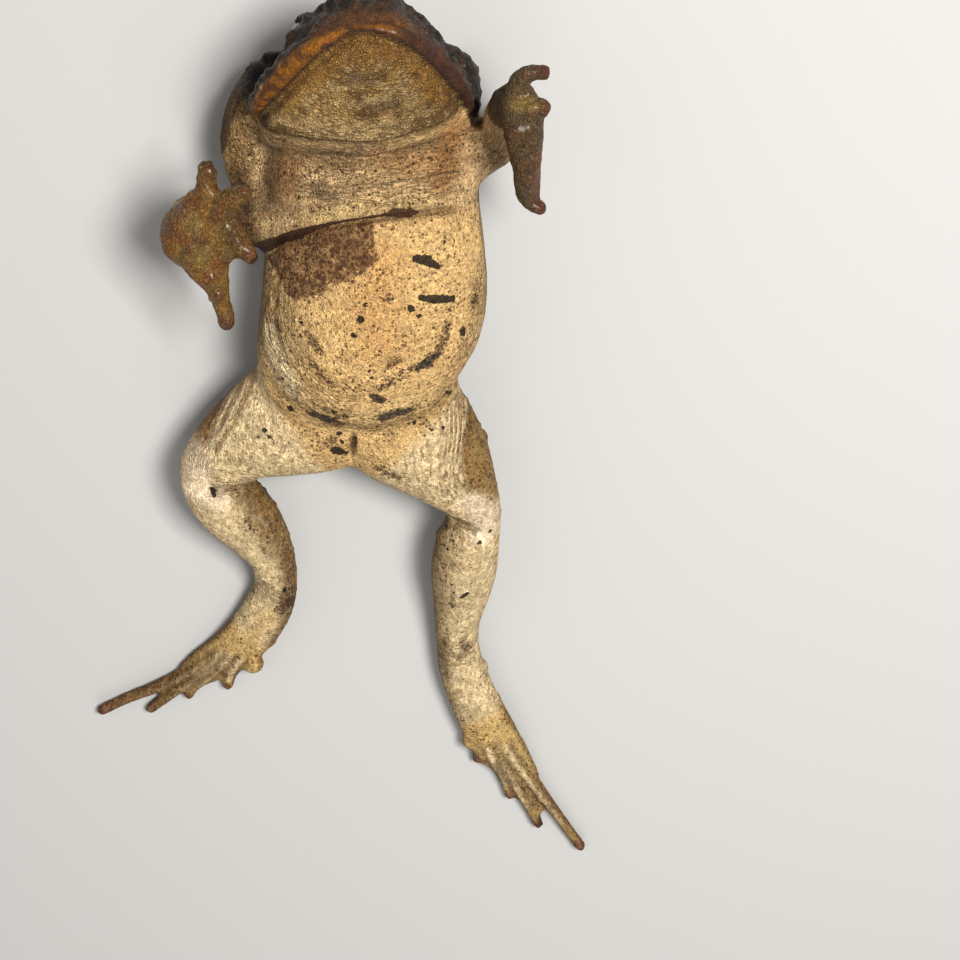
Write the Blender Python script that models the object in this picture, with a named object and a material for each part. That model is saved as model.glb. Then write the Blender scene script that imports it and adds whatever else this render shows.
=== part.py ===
"""A life-size cane toad lying on its back, with its head drawn up and its legs stretched out loosely.

Every length in the tables is in millimetres. +Z is up (the belly side), +Y runs towards the head and +X is
the toad's left. The origin is on the floor, under the middle of the back where the toad rests.
"""

import math
import random

import bmesh
import bpy
from mathutils import Matrix, Vector
from mathutils.bvhtree import BVHTree
from mathutils.kdtree import KDTree

MM = 0.001
RING_SIDES = 40
RINGS_PER_SPAN = 4
CAP_RINGS = 4
ROUND_CAP = 0.8
BLUNT_CAP = 0.45
CAP_ANGLE = math.radians(84)
MASS_VOXEL = 1.5
MASS_SMOOTHING = 14
SKIN_VOXEL = 1.0
SKIN_SMOOTHING = 5
BODY_TRIANGLES = 8200
CUT_GAP = 0.32
SOCKET_FINENESS = 3
PIT_FINENESS = 2
OUTSIDE = 200.0
SHARP_EDGE = math.radians(50)

HEAD_TILT = math.radians(51)
HEAD_TURN = math.radians(8)
HEAD_ROLL = math.radians(5)
JAW_CENTRE = Vector((0.2, 74.0, 42.0))
MOUTH_SLOPE = 0.15
MOUTH_DROP = -2.5

# Stations are (x, y, z, half width, height above the centre, height below it), from the vent to the neck.
TRUNK = [
    (-8, -62.5, 24.5, 12, 10.5, 11.5),
    (-8, -58, 24.5, 22, 16, 17.5),
    (-8, -52, 25, 30, 20, 22),
    (-6, -45, 27, 36, 26, 26),
    (-4.5, -34, 28.5, 39, 31, 29),
    (-0.5, -18, 29.5, 43.5, 32.5, 31.5),
    (2.5, 0, 30, 43.5, 32, 32),
    (3, 18, 30, 42, 31.5, 31.5),
    (2.5, 36, 30, 40.5, 29.5, 31),
    (2, 50, 30, 40, 26, 30),
    (1.5, 62, 29, 38.5, 21.5, 28),
    (1, 76, 27, 33, 14, 25),
]
TRUNK_SQUARENESS = 2.25

# Head stations are (forward, half width, height above the mouth, depth below it), from the jaw corners on.
CRANIUM = [
    (-26, 33, 22, 6),
    (-14, 37, 27, 6),
    (-2, 38, 30, 6),
    (10, 36, 31, 6),
    (20, 32.5, 29.5, 5),
    (30, 27, 26, 4),
    (37, 21.5, 21.5, 3.5),
    (42, 16, 16.5, 3),
]
CRANIUM_SQUARENESS = 1.75
LOWER_JAW = [
    (-18, 33, 3, 15),
    (-4, 36, 3, 15.5),
    (10, 34, 3, 14),
    (20, 30.5, 3, 12),
    (30, 25, 3, 9.5),
    (37, 19, 2.5, 7.5),
    (42, 13, 2, 6),
]
# Half of the upper lip, as (side, forward), from the jaw corner to the tip of the snout.
LIP = [(38.3, 1), (37.4, 7), (35, 14), (30.7, 22.5), (25, 30.5), (17.8, 37.8), (9.5, 42.8), (0, 44.6)]
LIP_RADII = (2.8, 3.6)
LIP_RISE = 3.0

# The head's small forms sit where a line at this angle from the crown leaves the skull, around HEAD_CORE.
HEAD_CORE = 6.0
EYE_PLACE = (17.5, 13, 21)
EYE_RADIUS = 7.6
LID_THICKNESS = 1.5
LID_OPENING = (6.0, 3.9)
LID_CUT_DEPTH = (1.0, 21.0)
EYE_OUT_ANGLE = 66
EYE_AHEAD = 0.3
CRESTS = {
    "canthal": [(41, 26), (35, 33), (27, 38)],
    "brow": [(27, 38), (16, 27), (4, 28), (-6, 40)],
    "ear": [(-6, 40), (-9, 56), (-9, 70)],
    "front": [(27, 38), (25.5, 55), (23, 72)],
}
CREST_RADIUS = 2.3
CREST_LIFT = 0.4
NOSTRIL = (42.5, 34)
NOSTRIL_RADIUS = 1.8
NOSTRIL_LIFT = 0.3
EARDRUM = (-2, 74)
EARDRUM_RADII = (5.2, 5.2, 1.9)
EARDRUM_SINK = 0.6

GLANDS = {
    "right": [(-30, 84, 22, 6, 7), (-37, 78, 23, 9.5, 12), (-41, 69, 24, 11, 13.5),
              (-43, 60, 24, 11.5, 13), (-43, 53, 25, 11, 12), (-42.5, 46, 26, 10, 11),
              (-41, 40, 27, 7, 8)],
    "left": [(25, 92, 22, 5, 6), (31, 85, 23, 8, 11), (34, 77, 24, 9.5, 13.5), (33.5, 70, 24, 8.5, 12),
             (30, 66, 25, 5, 7)],
}

# Limb stations are (x, y, z, half width, half height), from the root outwards.
LIMBS = {
    "upper_arm_right": [(-20, 36, 36, 14, 13), (-34, 33, 34.5, 12.5, 12), (-47, 30, 30.5, 10.5, 10.5),
                        (-57, 28.5, 24.5, 9, 9), (-62.5, 28, 21, 8, 8)],
    "forearm_right": [(-63, 28, 19, 8, 8.5), (-65.5, 29, 29, 9, 9.8), (-66, 31.5, 40, 8.2, 8.4),
                      (-65.5, 32.5, 50, 7.2, 6.8)],
    "upper_arm_left": [(20, 48, 35, 14, 13), (34, 53, 34, 12, 12), (44.5, 56.5, 28, 10, 10.5),
                       (52.5, 58, 20, 8.4, 9)],
    "forearm_left": [(53.5, 58, 17, 8, 8.5), (53.8, 63, 28, 9, 9.6), (53, 71, 42.5, 8.5, 8.5),
                     (54, 79, 54, 7, 7)],
    "thigh_right": [(-10, -44, 26, 27, 20, 21), (-25, -50.5, 26, 27.5, 19, 20),
                    (-40.5, -57.5, 25, 23, 18, 18), (-54, -64.5, 24, 17.5, 15.5, 15.5),
                    (-64.5, -71.5, 24, 13, 13, 13), (-71, -77.5, 24.5, 9.8, 10.5, 10.5)],
    "thigh_left": [(3, -48, 26, 27, 20, 21), (16, -59.5, 26, 26.5, 19, 20), (27, -71, 26, 21.5, 17.5, 17.5),
                   (34.5, -81, 26, 16.5, 15, 15), (39.8, -89, 26, 12, 12.5, 12.5),
                   (43.5, -96.5, 27, 9.2, 10.5, 10.5)],
    "shank_right": [(-71, -79.5, 24.5, 9.5, 10.5), (-66, -87, 23.5, 13, 13), (-58.5, -96, 21.5, 14.8, 13.8),
                    (-51, -107.5, 18, 13, 12.5), (-45.5, -121, 13.5, 10, 10), (-43.5, -134, 10, 8.8, 8.8)],
    "shank_left": [(43, -96, 27, 9.5, 10.5), (40, -104, 25.5, 12, 12.5), (38, -112, 23.5, 13.3, 13.5),
                   (36.5, -125, 20, 14, 13.2), (35, -140, 15.5, 12, 11.2), (33.4, -154, 12, 9.8, 9.8),
                   (33.3, -168, 9.8, 9, 9)],
    "tarsus_right": [(-43.6, -132, 10, 8.8, 8.8), (-45, -141, 9, 9.5, 8.8), (-48.5, -150, 8, 10.6, 8.4),
                     (-55.5, -161.5, 6.8, 11, 7.4), (-64.5, -171, 5.6, 10.4, 6.2),
                     (-73, -177, 4.6, 8.6, 5.2)],
    "tarsus_left": [(33.2, -166, 9.8, 9, 9), (35.2, -179, 8.8, 10.1, 8.9), (39.8, -194, 7.8, 10.8, 8.3),
                    (46, -209.5, 6.8, 11.7, 7.3), (52, -222, 5.8, 11.5, 6.4), (57, -230.5, 4.8, 9.6, 5.4)],
}
# The toes of each foot, from the first to the fifth.
TOES = {
    "right": [
        [(-62, -177, 5, 3.9, 4.2), (-66.8, -184, 4.2, 2.9, 3.3), (-69, -191.6, 3.4, 2.4, 2.8)],
        [(-68, -177, 4.8, 4, 4.3), (-78, -187, 3.8, 2.8, 3.2), (-84.6, -192.6, 3.2, 2.3, 2.8),
         (-86.6, -196.6, 3, 2.2, 2.7)],
        [(-70, -176, 4.6, 4.2, 4.4), (-87.6, -190.5, 3.6, 2.8, 3.3), (-99.4, -199.7, 3.2, 2.3, 2.8),
         (-104.6, -203.9, 3, 2.3, 2.8)],
        [(-72, -172, 4.4, 4.6, 4.4), (-87, -185, 3.9, 3.5, 3.7), (-101.6, -192.8, 3.4, 2.6, 3.1),
         (-114, -198.2, 3.1, 2.3, 2.8), (-126.6, -204.8, 2.9, 2.3, 2.7)],
        [(-66, -166, 4.6, 4.2, 4.3), (-76, -172.8, 3.8, 3.2, 3.6), (-83, -178.2, 3.2, 2.6, 3),
         (-87.5, -182, 2.9, 2.1, 2.6)],
    ],
    "left": [
        [(44.5, -217, 5, 3.8, 4.2), (43, -225, 4.4, 3.1, 3.6), (42.4, -229.4, 3.8, 2.6, 3.1)],
        [(50, -224, 5, 4, 4.4), (53.4, -237, 4, 2.9, 3.4), (56.4, -246, 3.3, 2.3, 2.8),
         (57, -250, 3.1, 2.2, 2.7)],
        [(54, -228, 4.8, 4.2, 4.6), (61.2, -246, 3.8, 2.9, 3.4), (68, -260, 3.3, 2.3, 2.8),
         (70.4, -265.8, 3.1, 2.2, 2.7)],
        [(57, -225, 4.8, 4.8, 4.6), (66.5, -240.8, 4, 3.5, 3.8), (75.5, -254.8, 3.5, 2.6, 3.1),
         (84.6, -269.4, 3.2, 2.3, 2.8), (90.4, -278.4, 3, 2.3, 2.7)],
        [(59, -221, 4.4, 4.2, 4.3), (64, -231, 3.6, 3.2, 3.5), (68, -239, 3.1, 2.3, 2.8)],
    ],
}
WEBS = {
    "right": [(-64, -172, 4.2, 11, 2.2), (-74, -180.5, 3.6, 9, 1.9), (-83, -187.5, 3.2, 5.5, 1.7),
              (-92, -192.5, 2.9, 3, 1.5), (-97.5, -195.8, 2.7, 1.8, 1.4)],
    "left": [(53, -225, 4.4, 10.5, 2.2), (58.5, -236, 3.9, 7.5, 1.9), (64, -246.5, 3.5, 5, 1.7),
             (69, -254.5, 3.1, 2.8, 1.5), (71.5, -258.5, 2.8, 1.8, 1.4)],
}
SOLE_TUBERCLES = {"right": (-56.6, -178, 7.4, 4.8), "left": (39.6, -217.5, 7.2, 4.6)}

PALMS = {
    "right": [(-69.5, 34, 51.5, 8.5, 5.5), (-66, 32, 54.5, 14.4, 6), (-59, 32, 57, 17, 6.5),
              (-51, 32, 60, 12.5, 5.5), (-45.5, 33, 61, 6.5, 4.2)],
    "left": [(56, 84, 57.5, 6, 5), (57.6, 79, 61.5, 7.8, 5.8), (58.8, 70, 63.4, 7.4, 5.6),
             (59.7, 61, 61.8, 6.1, 5), (59.8, 55, 60, 4.9, 4.5)],
}
# The four fingers of each hand.
FINGERS = {
    "right": [
        [(-57, 40, 58, 6, 5), (-55.8, 48, 59.5, 4.1, 4), (-55.1, 57.4, 60, 3, 3.1)],
        [(-52, 38, 60, 5.5, 4.8), (-47, 45.8, 62, 4, 3.9), (-41.6, 48.2, 63, 3.4, 3.5)],
        [(-52, 30, 60, 5.5, 4.8), (-46, 29.4, 61.8, 4, 3.8), (-42.4, 26.6, 61.8, 3.3, 3.4),
         (-41.2, 23.8, 61, 3.1, 3.2)],
        [(-59, 25, 58, 10, 5.6), (-57, 18, 57.5, 8, 5.2), (-54.8, 11, 56.4, 4.8, 4.5),
         (-53.8, 5, 55.3, 3.5, 3.7), (-52.4, -1, 54, 3.3, 3.5), (-52.3, -4.8, 53, 3.1, 3.2)],
    ],
    "left": [
        [(57, 80, 60, 5.5, 5), (56.5, 86, 61.5, 4, 4.1), (58.2, 89.8, 62, 3.1, 3.4),
         (61.5, 91.3, 62.3, 2.8, 3.1), (65.6, 91.1, 62, 2.7, 2.9)],
        [(58.5, 77, 63.5, 5, 4.6), (62.5, 79.7, 65, 3.3, 3.5), (66.2, 79.3, 65, 2.9, 3.1)],
        [(61, 62, 58.5, 4.6, 4.2), (62, 52, 55, 3.3, 3.5), (62.6, 45.5, 52.5, 2.8, 3)],
        [(60, 58, 61, 5, 4.8), (59.3, 51, 59.2, 3.8, 4), (59.7, 45.8, 58, 3, 3.3),
         (61.8, 42.8, 57.2, 2.7, 3), (65.6, 40.7, 56.4, 2.6, 2.8)],
    ],
}

# Creases are (x, y) points on the belly side, with the groove's half width and depth.
CREASES = {
    "chest": ([(-40, 21), (-29, 28), (-19, 32.5), (-8, 35.5), (4, 37.5), (14, 38.5), (24, 39), (34, 38)],
              2.2, 1.5),
    "belly": ([(-38, -31), (-29, -40), (-18, -47), (-6, -51), (6, -51), (18, -47), (27, -40), (34, -32)],
              3.0, 1.0),
    "vent": ([(-6.5, -56), (-7.2, -62), (-8, -68)], 1.3, 1.6),
}

WART_SEED = 11
WART_ROWS = {
    "trunk": (8.5, 8.0, (2.4, 4.0), (-172, -8)),
    "thigh_right": (7.5, 7.0, (1.6, 2.8), (-150, -35)),
    "thigh_left": (7.5, 7.0, (1.6, 2.8), (-150, -30)),
    "shank_right": (7.0, 6.5, (1.6, 2.6), (-150, -30)),
    "shank_left": (7.0, 6.5, (1.6, 2.6), (-150, -30)),
    "gland_right": (6.0, 6.0, (1.4, 2.2), (-170, -20)),
    "gland_left": (6.0, 6.0, (1.4, 2.2), (-170, -10)),
}
WART_RISE = 0.34
WART_CLEAR_OF_FLOOR = 3.0

# Limb cuts are (centre, the direction along the limb, half the cut's size across and over the limb).
LIMB_CUTS = {
    "shoulder_right": ((-53.4, 29.4, 27.6), (-1, -0.1, -0.45), 13, 13),
    "elbow_right": ((-60.2, 29, 25), (-1.13, 0.09, 0.63), 13, 17.5),
    "wrist_right": ((-65.8, 32.2, 43.5), (0.04, 0.1, 0.98), 12, 12),
    "shoulder_left": ((45.0, 56.5, 28), (1, 0.15, -0.3), 16, 20),
    "elbow_left": ((52.1, 60.5, 24.2), (0.85, 0.63, 0.26), 12, 18.5),
    "wrist_left": ((53.4, 75.2, 48.4), (0.1, 0.6, 0.77), 12, 12),
    "hip_right": ((-29, -54, 27), (-0.881, -0.474, 0), 33, 30),
    "hip_left": ((16.5, -59, 27), (0.733, -0.68, 0), 33, 30),
    "knee_right": ((-65.5, -81.5, 24), (-0.13, -0.99, 0), 19, 19),
    "knee_left": ((40, -98, 26), (-0.05, -0.99, 0), 19, 19),
    "ankle_right": ((-43.6, -133, 10), (0.08, -0.98, -0.2), 13, 13),
    "ankle_left": ((33.3, -167, 10), (0.05, -0.99, -0.1), 13, 13),
    "instep_right": ((-57, -163, 7), (-0.68, -0.73, -0.1), 15, 13),
    "instep_left": ((43.3, -203, 8), (0.43, -0.9, -0.08), 15, 13),
}
# The jaw's hinge is a line across the head, as (forward, up). The gular fold and the neck leave it.
HINGE = (-7.0, -3.5)
MOUTH_END = 62.0
GULAR_END = (14.5, -27.0)
NECK_END = (-21.0, 44.0)
JAW_CUT_HALF_WIDTH = 46.5
NECK_CUT_SIDES = (-58.0, 48.5)

# A point inside each node, by which the cut pieces get their names.
NODE_SEEDS = {
    "head": (3, 95, 42), "lower_jaw": (3, 84, 62), "torso": (0, -5, 30),
    "upper_arm_right": (-56.5, 29, 25), "forearm_right": (-66, 30, 32), "hand_right": (-58, 32, 57),
    "upper_arm_left": (49, 57.5, 25), "forearm_left": (53.5, 67, 34), "hand_left": (60, 68, 61),
    "thigh_right": (-46, -62, 24), "shank_right": (-57, -104, 20), "tarsus_right": (-47, -147, 9),
    "foot_right": (-76, -181, 4), "thigh_left": (28, -76, 26), "shank_left": (37, -128, 20),
    "tarsus_left": (36, -184, 9), "foot_left": (57, -230, 5),
}

# Colour, roughness of each node's material.
DARK_SKIN = ((0.085, 0.06, 0.04), 0.62)
THROAT_SKIN = ((0.42, 0.30, 0.13), 0.58)
BELLY_SKIN = ((0.66, 0.52, 0.32), 0.55)
LEG_SKIN = ((0.60, 0.46, 0.28), 0.55)
SOLE_SKIN = ((0.42, 0.28, 0.15), 0.55)
HAND_SKIN = ((0.40, 0.22, 0.09), 0.45)
EYE_DARK = ((0.05, 0.035, 0.02), 0.08)
FINISHES = {
    "head": DARK_SKIN, "lower_jaw": THROAT_SKIN, "torso": BELLY_SKIN, "upper_arm": BELLY_SKIN,
    "forearm": THROAT_SKIN, "hand": HAND_SKIN, "thigh": LEG_SKIN, "shank": LEG_SKIN, "tarsus": LEG_SKIN,
    "foot": SOLE_SKIN, "eye": EYE_DARK,
}


def mouth_height(forward):
    """How high the mouth's plane is above the jaw corners, in the head's own axes."""
    return MOUTH_DROP + MOUTH_SLOPE * forward


def head_axes():
    """The head's own axes as the columns of a matrix: side (the toad's left), forward and up."""
    forward = Vector((0, math.cos(HEAD_TILT), math.sin(HEAD_TILT)))
    up = Vector((0, math.sin(HEAD_TILT), -math.cos(HEAD_TILT)))
    side = Vector((1, 0, 0))
    side, forward = spun(side, forward, -HEAD_TURN)
    side, up = spun(side, up, HEAD_ROLL)
    return Matrix((side, forward, up)).transposed()


def spun(first, second, angle):
    """Two directions square to each other, turned in their plane from the first towards the second."""
    cos, sin = math.cos(angle), math.sin(angle)
    return first * cos + second * sin, second * cos - first * sin


def head_place(side, forward, up):
    """A point of the head, given as on a toad that sits upright, in the lying toad's own frame."""
    return JAW_CENTRE + head_axes() @ Vector((side, forward, up))


def spline(rows):
    """The rows, with RINGS_PER_SPAN steps between each two of them on a smooth curve."""
    padded = [mirrored(rows[0], rows[1]), *rows, mirrored(rows[-1], rows[-2])]
    made = []
    for number in range(len(rows) - 1):
        before, start, end, after = padded[number : number + 4]
        for step in range(RINGS_PER_SPAN):
            t = step / RINGS_PER_SPAN
            made.append([on_curve(values, t) for values in zip(before, start, end, after)])
    made.append(list(rows[-1]))
    return made


def mirrored(centre, other):
    return [2 * a - b for a, b in zip(centre, other)]


def on_curve(values, t):
    """One number on the Catmull-Rom curve through the two middle values."""
    before, start, end, after = values
    square = 2 * before - 5 * start + 4 * end - after
    cube = 3 * start - before - 3 * end + after
    return 0.5 * (2 * start + (end - before) * t + square * t**2 + cube * t**3)


def ring_points(centre, across, over, wide, above, below, squareness):
    """Points round one ring, an ellipse whose lower half may be shallower than its upper half."""
    power = 2 / squareness
    points = []
    for number in range(RING_SIDES):
        angle = 2 * math.pi * number / RING_SIDES
        cos, sin = math.cos(angle), math.sin(angle)
        side = math.copysign(abs(cos) ** power, cos) * wide
        height = math.copysign(abs(sin) ** power, sin) * (above if sin > 0 else below)
        points.append(centre + across * side + over * height)
    return points


def ring_frames(stations, over_hint, straight):
    """Each ring's centre, the directions along, across and over the body there, and its sizes."""
    rows = spline([row if len(row) == 6 else (*row, row[4]) for row in stations])
    centres = [Vector(row[:3]) for row in rows]
    frames = []
    for number, row in enumerate(rows):
        before = centres[max(number - 1, 0)]
        after = centres[min(number + 1, len(rows) - 1)]
        along = straight or (after - before).normalized()
        across = along.cross(over_hint).normalized()
        over = across.cross(along).normalized()
        frames.append((centres[number], along, across, over, *row[3:]))
    return frames


def loft(stations, over_hint=Vector((0, 0, 1)), straight=None, squareness=2.0, cap=ROUND_CAP):
    """A closed body: rings carried along the stations, sized at each one, with rounded ends."""
    rings = ring_frames(stations, over_hint, straight)
    rings = dome(rings[0], -cap)[::-1] + rings + dome(rings[-1], cap)
    mesh = bmesh.new()
    made = []
    for centre, along, across, over, wide, above, below in rings:
        points = ring_points(centre, across, over, wide, above, below, squareness)
        made.append([mesh.verts.new(point * MM) for point in points])
    for first, second in zip(made, made[1:]):
        for number in range(RING_SIDES):
            after = (number + 1) % RING_SIDES
            mesh.faces.new((first[number], first[after], second[after], second[number]))
    mesh.faces.new(made[0])
    mesh.faces.new(made[-1])
    bmesh.ops.recalc_face_normals(mesh, faces=mesh.faces)
    return mesh


def dome(ring, cap):
    """Shrinking rings past an end ring, so that the end is rounded. A negative cap goes backwards."""
    centre, along, across, over, wide, above, below = ring
    depth = cap * min(wide, (above + below) / 2)
    made = []
    for number in range(1, CAP_RINGS + 1):
        angle = CAP_ANGLE * number / CAP_RINGS
        share = math.cos(angle)
        place = centre + along * (depth * math.sin(angle))
        made.append((place, along, across, over, wide * share, above * share, below * share))
    return made


def ball(centre, radii, turn=Matrix.Identity(3), fineness=4):
    """An ellipsoid, turned by a 3 by 3 matrix."""
    mesh = bmesh.new()
    bmesh.ops.create_icosphere(mesh, subdivisions=fineness, radius=1.0)
    place = (turn @ Matrix.Diagonal(Vector(radii) * MM)).to_4x4()
    place.translation = Vector(centre) * MM
    bmesh.ops.transform(mesh, matrix=place, verts=mesh.verts)
    bmesh.ops.recalc_face_normals(mesh, faces=mesh.faces)
    return mesh


def head_loft(stations, squareness=2.0):
    """A loft along the head, with its rings centred on the mouth's plane and square to the forward axis."""
    axes = head_axes()
    rows = [
        (*head_place(0, forward, mouth_height(forward)), wide, above, below)
        for forward, wide, above, below in stations
    ]
    return loft(rows, axes.col[2], axes.col[1], squareness, BLUNT_CAP)


def masses():
    """The large forms: trunk, head, glands and limbs."""
    made = [loft(TRUNK, straight=Vector((0, 1, 0)), squareness=TRUNK_SQUARENESS)]
    made += [head_loft(CRANIUM, CRANIUM_SQUARENESS), head_loft(LOWER_JAW)]
    for stations in (*GLANDS.values(), *LIMBS.values(), *PALMS.values()):
        made.append(loft(stations))
    return made


def skin_tree(made):
    """The object's surface, ready to be hit by lines."""
    scrap = bmesh.new()
    scrap.from_mesh(made.data)
    tree = BVHTree.FromBMesh(scrap)
    scrap.free()
    return tree


def hit(tree, start, towards):
    """Where a line from start, towards a point, meets the surface, and the surface's normal there."""
    place, normal, _, _ = tree.ray_cast(start * MM, (towards - start).normalized())
    return (place / MM, normal) if place else (None, None)


def hit_on_head(tree, forward, degrees, left):
    """The head's surface at an angle from the crown, on the toad's left or right."""
    angle = math.radians(degrees) * (1 if left else -1)
    core = head_place(0, forward, HEAD_CORE)
    away = head_axes() @ Vector((math.sin(angle), 0, math.cos(angle)))
    return hit(tree, core + away * OUTSIDE, core)


def eye_frame(left):
    """The eye's centre, and its axes as a matrix: forward, over and out of the head."""
    side = 1 if left else -1
    angle = math.radians(EYE_OUT_ANGLE)
    out = Vector((side * math.sin(angle), EYE_AHEAD, math.cos(angle))).normalized()
    ahead = (Vector((0, 1, 0)) - out * out.y).normalized()
    turn = head_axes() @ Matrix((ahead, out.cross(ahead), out)).transposed()
    return head_place(side * EYE_PLACE[0], *EYE_PLACE[1:]), turn


def head_forms(tree):
    """The lip, lids, crests and eardrums."""
    half = [(side, forward, mouth_height(forward) + LIP_RISE) for side, forward in LIP]
    other = [(-side, forward, up) for side, forward, up in half[:-1]]
    rows = [(*head_place(*point), *LIP_RADII) for point in half + other[::-1]]
    up = head_axes().col[2]
    made = [loft(rows, up)]
    lid = EYE_RADIUS + LID_THICKNESS
    for left in (True, False):
        made.append(ball(eye_frame(left)[0], (lid, lid, lid)))
        for line in CRESTS.values():
            rows = []
            for forward, degrees in line:
                place, normal = hit_on_head(tree, forward, degrees, left)
                rows.append((*(place + normal * CREST_LIFT), CREST_RADIUS, CREST_RADIUS))
            made.append(loft(rows, up))
        place, normal = hit_on_head(tree, *EARDRUM, left)
        turn = normal.to_track_quat("Z", "Y").to_matrix()
        made.append(ball(place - normal * EARDRUM_SINK, EARDRUM_RADII, turn))
    return made


def digits():
    """Toes with their webs and the sole's tubercle, and fingers."""
    made = []
    for side, toes in TOES.items():
        made += [loft(toe) for toe in toes]
        made.append(loft(WEBS[side]))
        x, y, z, radius = SOLE_TUBERCLES[side]
        made.append(ball((x, y, z), (radius, radius, radius * 0.8)))
    for fingers in FINGERS.values():
        made += [loft(finger) for finger in fingers]
    return made


def linked(mesh, name):
    """The bmesh as an object of the scene."""
    data = bpy.data.meshes.new(name)
    mesh.to_mesh(data)
    mesh.free()
    made = bpy.data.objects.new(name, data)
    bpy.context.scene.collection.objects.link(made)
    return made


def merged(bodies, base=None):
    """The closed bodies side by side in one bmesh, with those of the mesh data base, if any."""
    whole = bmesh.new()
    if base:
        whole.from_mesh(base)
    for body in bodies:
        scrap = bpy.data.meshes.new("scrap")
        body.to_mesh(scrap)
        body.free()
        whole.from_mesh(scrap)
        bpy.data.meshes.remove(scrap)
    return whole


def settle(made):
    """Turns the object's evaluated mesh into its own mesh, and removes its modifiers."""
    graph = bpy.context.evaluated_depsgraph_get()
    graph.update()
    data = bpy.data.meshes.new_from_object(made.evaluated_get(graph))
    made.modifiers.clear()
    old, made.data = made.data, data
    bpy.data.meshes.remove(old)
    return made


def fused(made, voxel, rounds):
    """Fuses the object's overlapping bodies into one skin, and smooths it."""
    remesh = made.modifiers.new("skin", "REMESH")
    remesh.mode = "VOXEL"
    remesh.voxel_size = voxel * MM
    smooth = made.modifiers.new("smooth", "SMOOTH")
    smooth.iterations = rounds
    smooth.factor = 0.5
    return settle(made)


def wart_places(tree):
    """Each wart's place, normal and radius, in rows round the back, the glands and the legs."""
    draw = random.Random(WART_SEED)
    lofts = {"trunk": TRUNK, **LIMBS}
    lofts.update({f"gland_{side}": stations for side, stations in GLANDS.items()})
    for name, (pace, spacing, radii, (first, last)) in WART_ROWS.items():
        frames = ring_frames(lofts[name], Vector((0, 0, 1)), None)
        walked = pace
        for before, (centre, along, across, over, wide, *_) in zip(frames, frames[1:]):
            walked += (centre - before[0]).length
            if walked < pace:
                continue
            walked = 0
            degrees = first + draw.uniform(0, 20)
            while degrees < last:
                angle = math.radians(degrees)
                away = across * math.cos(angle) + over * math.sin(angle)
                start = centre + along * draw.uniform(-0.4, 0.4) * pace
                radius = draw.uniform(*radii)
                place, normal = hit(tree, start + away * (wide + 40), start)
                if place and (place - start).length < wide * 1.5 and place.z > WART_CLEAR_OF_FLOOR:
                    yield place, normal, radius
                degrees += math.degrees(spacing / wide) * draw.uniform(0.8, 1.6)


def detailed(made):
    """Raises the warts and presses in the creases."""
    tree = skin_tree(made)
    verts = made.data.vertices
    near = KDTree(len(verts))
    for vert in verts:
        near.insert(vert.co, vert.index)
    near.balance()
    pushes = {}
    for place, normal, radius in wart_places(tree):
        for _, index, gap in near.find_range(place * MM, radius * MM):
            share = (1 - (gap / (radius * MM)) ** 2) ** 2
            pushes[index] = pushes.get(index, Vector()) + normal * (radius * WART_RISE * share * MM)
    for points, wide, deep in CREASES.values():
        for index, share in groove(tree, near, points, wide).items():
            pushes[index] = pushes.get(index, Vector()) - verts[index].normal * (deep * share * MM)
    for index, push in pushes.items():
        verts[index].co += push
    made.data.update()
    return made


def groove(tree, near, points, wide):
    """How deep each vertex lies in a groove that runs under the (x, y) points, from 0 to 1."""
    rows = spline([(x, y) for x, y in points])
    shares = {}
    for before, after in zip(rows, rows[1:]):
        start, end = Vector(before), Vector(after)
        steps = max(int((end - start).length), 1)
        for step in range(steps):
            x, y = start.lerp(end, step / steps)
            place, _ = hit(tree, Vector((x, y, OUTSIDE)), Vector((x, y, 0)))
            if not place:
                continue
            for _, index, gap in near.find_range(place * MM, 2 * wide * MM):
                share = math.exp(-((gap / (wide * MM)) ** 2))
                shares[index] = max(shares.get(index, 0), share)
    return shares


def thinned(made, triangles):
    """The same skin with about so many triangles."""
    made.data.update()
    first = made.modifiers.new("triangles", "TRIANGULATE")
    first.quad_method = "SHORTEST_DIAGONAL"
    settle(made)
    fewer = made.modifiers.new("fewer", "DECIMATE")
    fewer.ratio = triangles / len(made.data.polygons)
    return settle(made)


def cut(made, cutter):
    """Takes the closed bmesh cutter out of the object."""
    tool = linked(cutter, "cutter")
    modifier = made.modifiers.new("cut", "BOOLEAN")
    modifier.operation = "DIFFERENCE"
    modifier.solver = "EXACT"
    modifier.object = tool
    settle(made)
    bpy.data.objects.remove(tool)
    return made


def box(centre, turn, sizes):
    """A closed box with these whole sizes along the columns of turn."""
    mesh = bmesh.new()
    bmesh.ops.create_cube(mesh, size=1.0)
    place = (turn @ Matrix.Diagonal(Vector(sizes) * MM)).to_4x4()
    place.translation = Vector(centre) * MM
    bmesh.ops.transform(mesh, matrix=place, verts=mesh.verts)
    bmesh.ops.recalc_face_normals(mesh, faces=mesh.faces)
    return mesh


def plate(centre, along, half_across, half_over):
    """A thin plate square to a limb."""
    along = Vector(along).normalized()
    across = along.cross(Vector((0, 0, 1))).normalized()
    turn = Matrix((across, across.cross(along), along)).transposed()
    return box(centre, turn, (2 * half_across, 2 * half_over, CUT_GAP))


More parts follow.
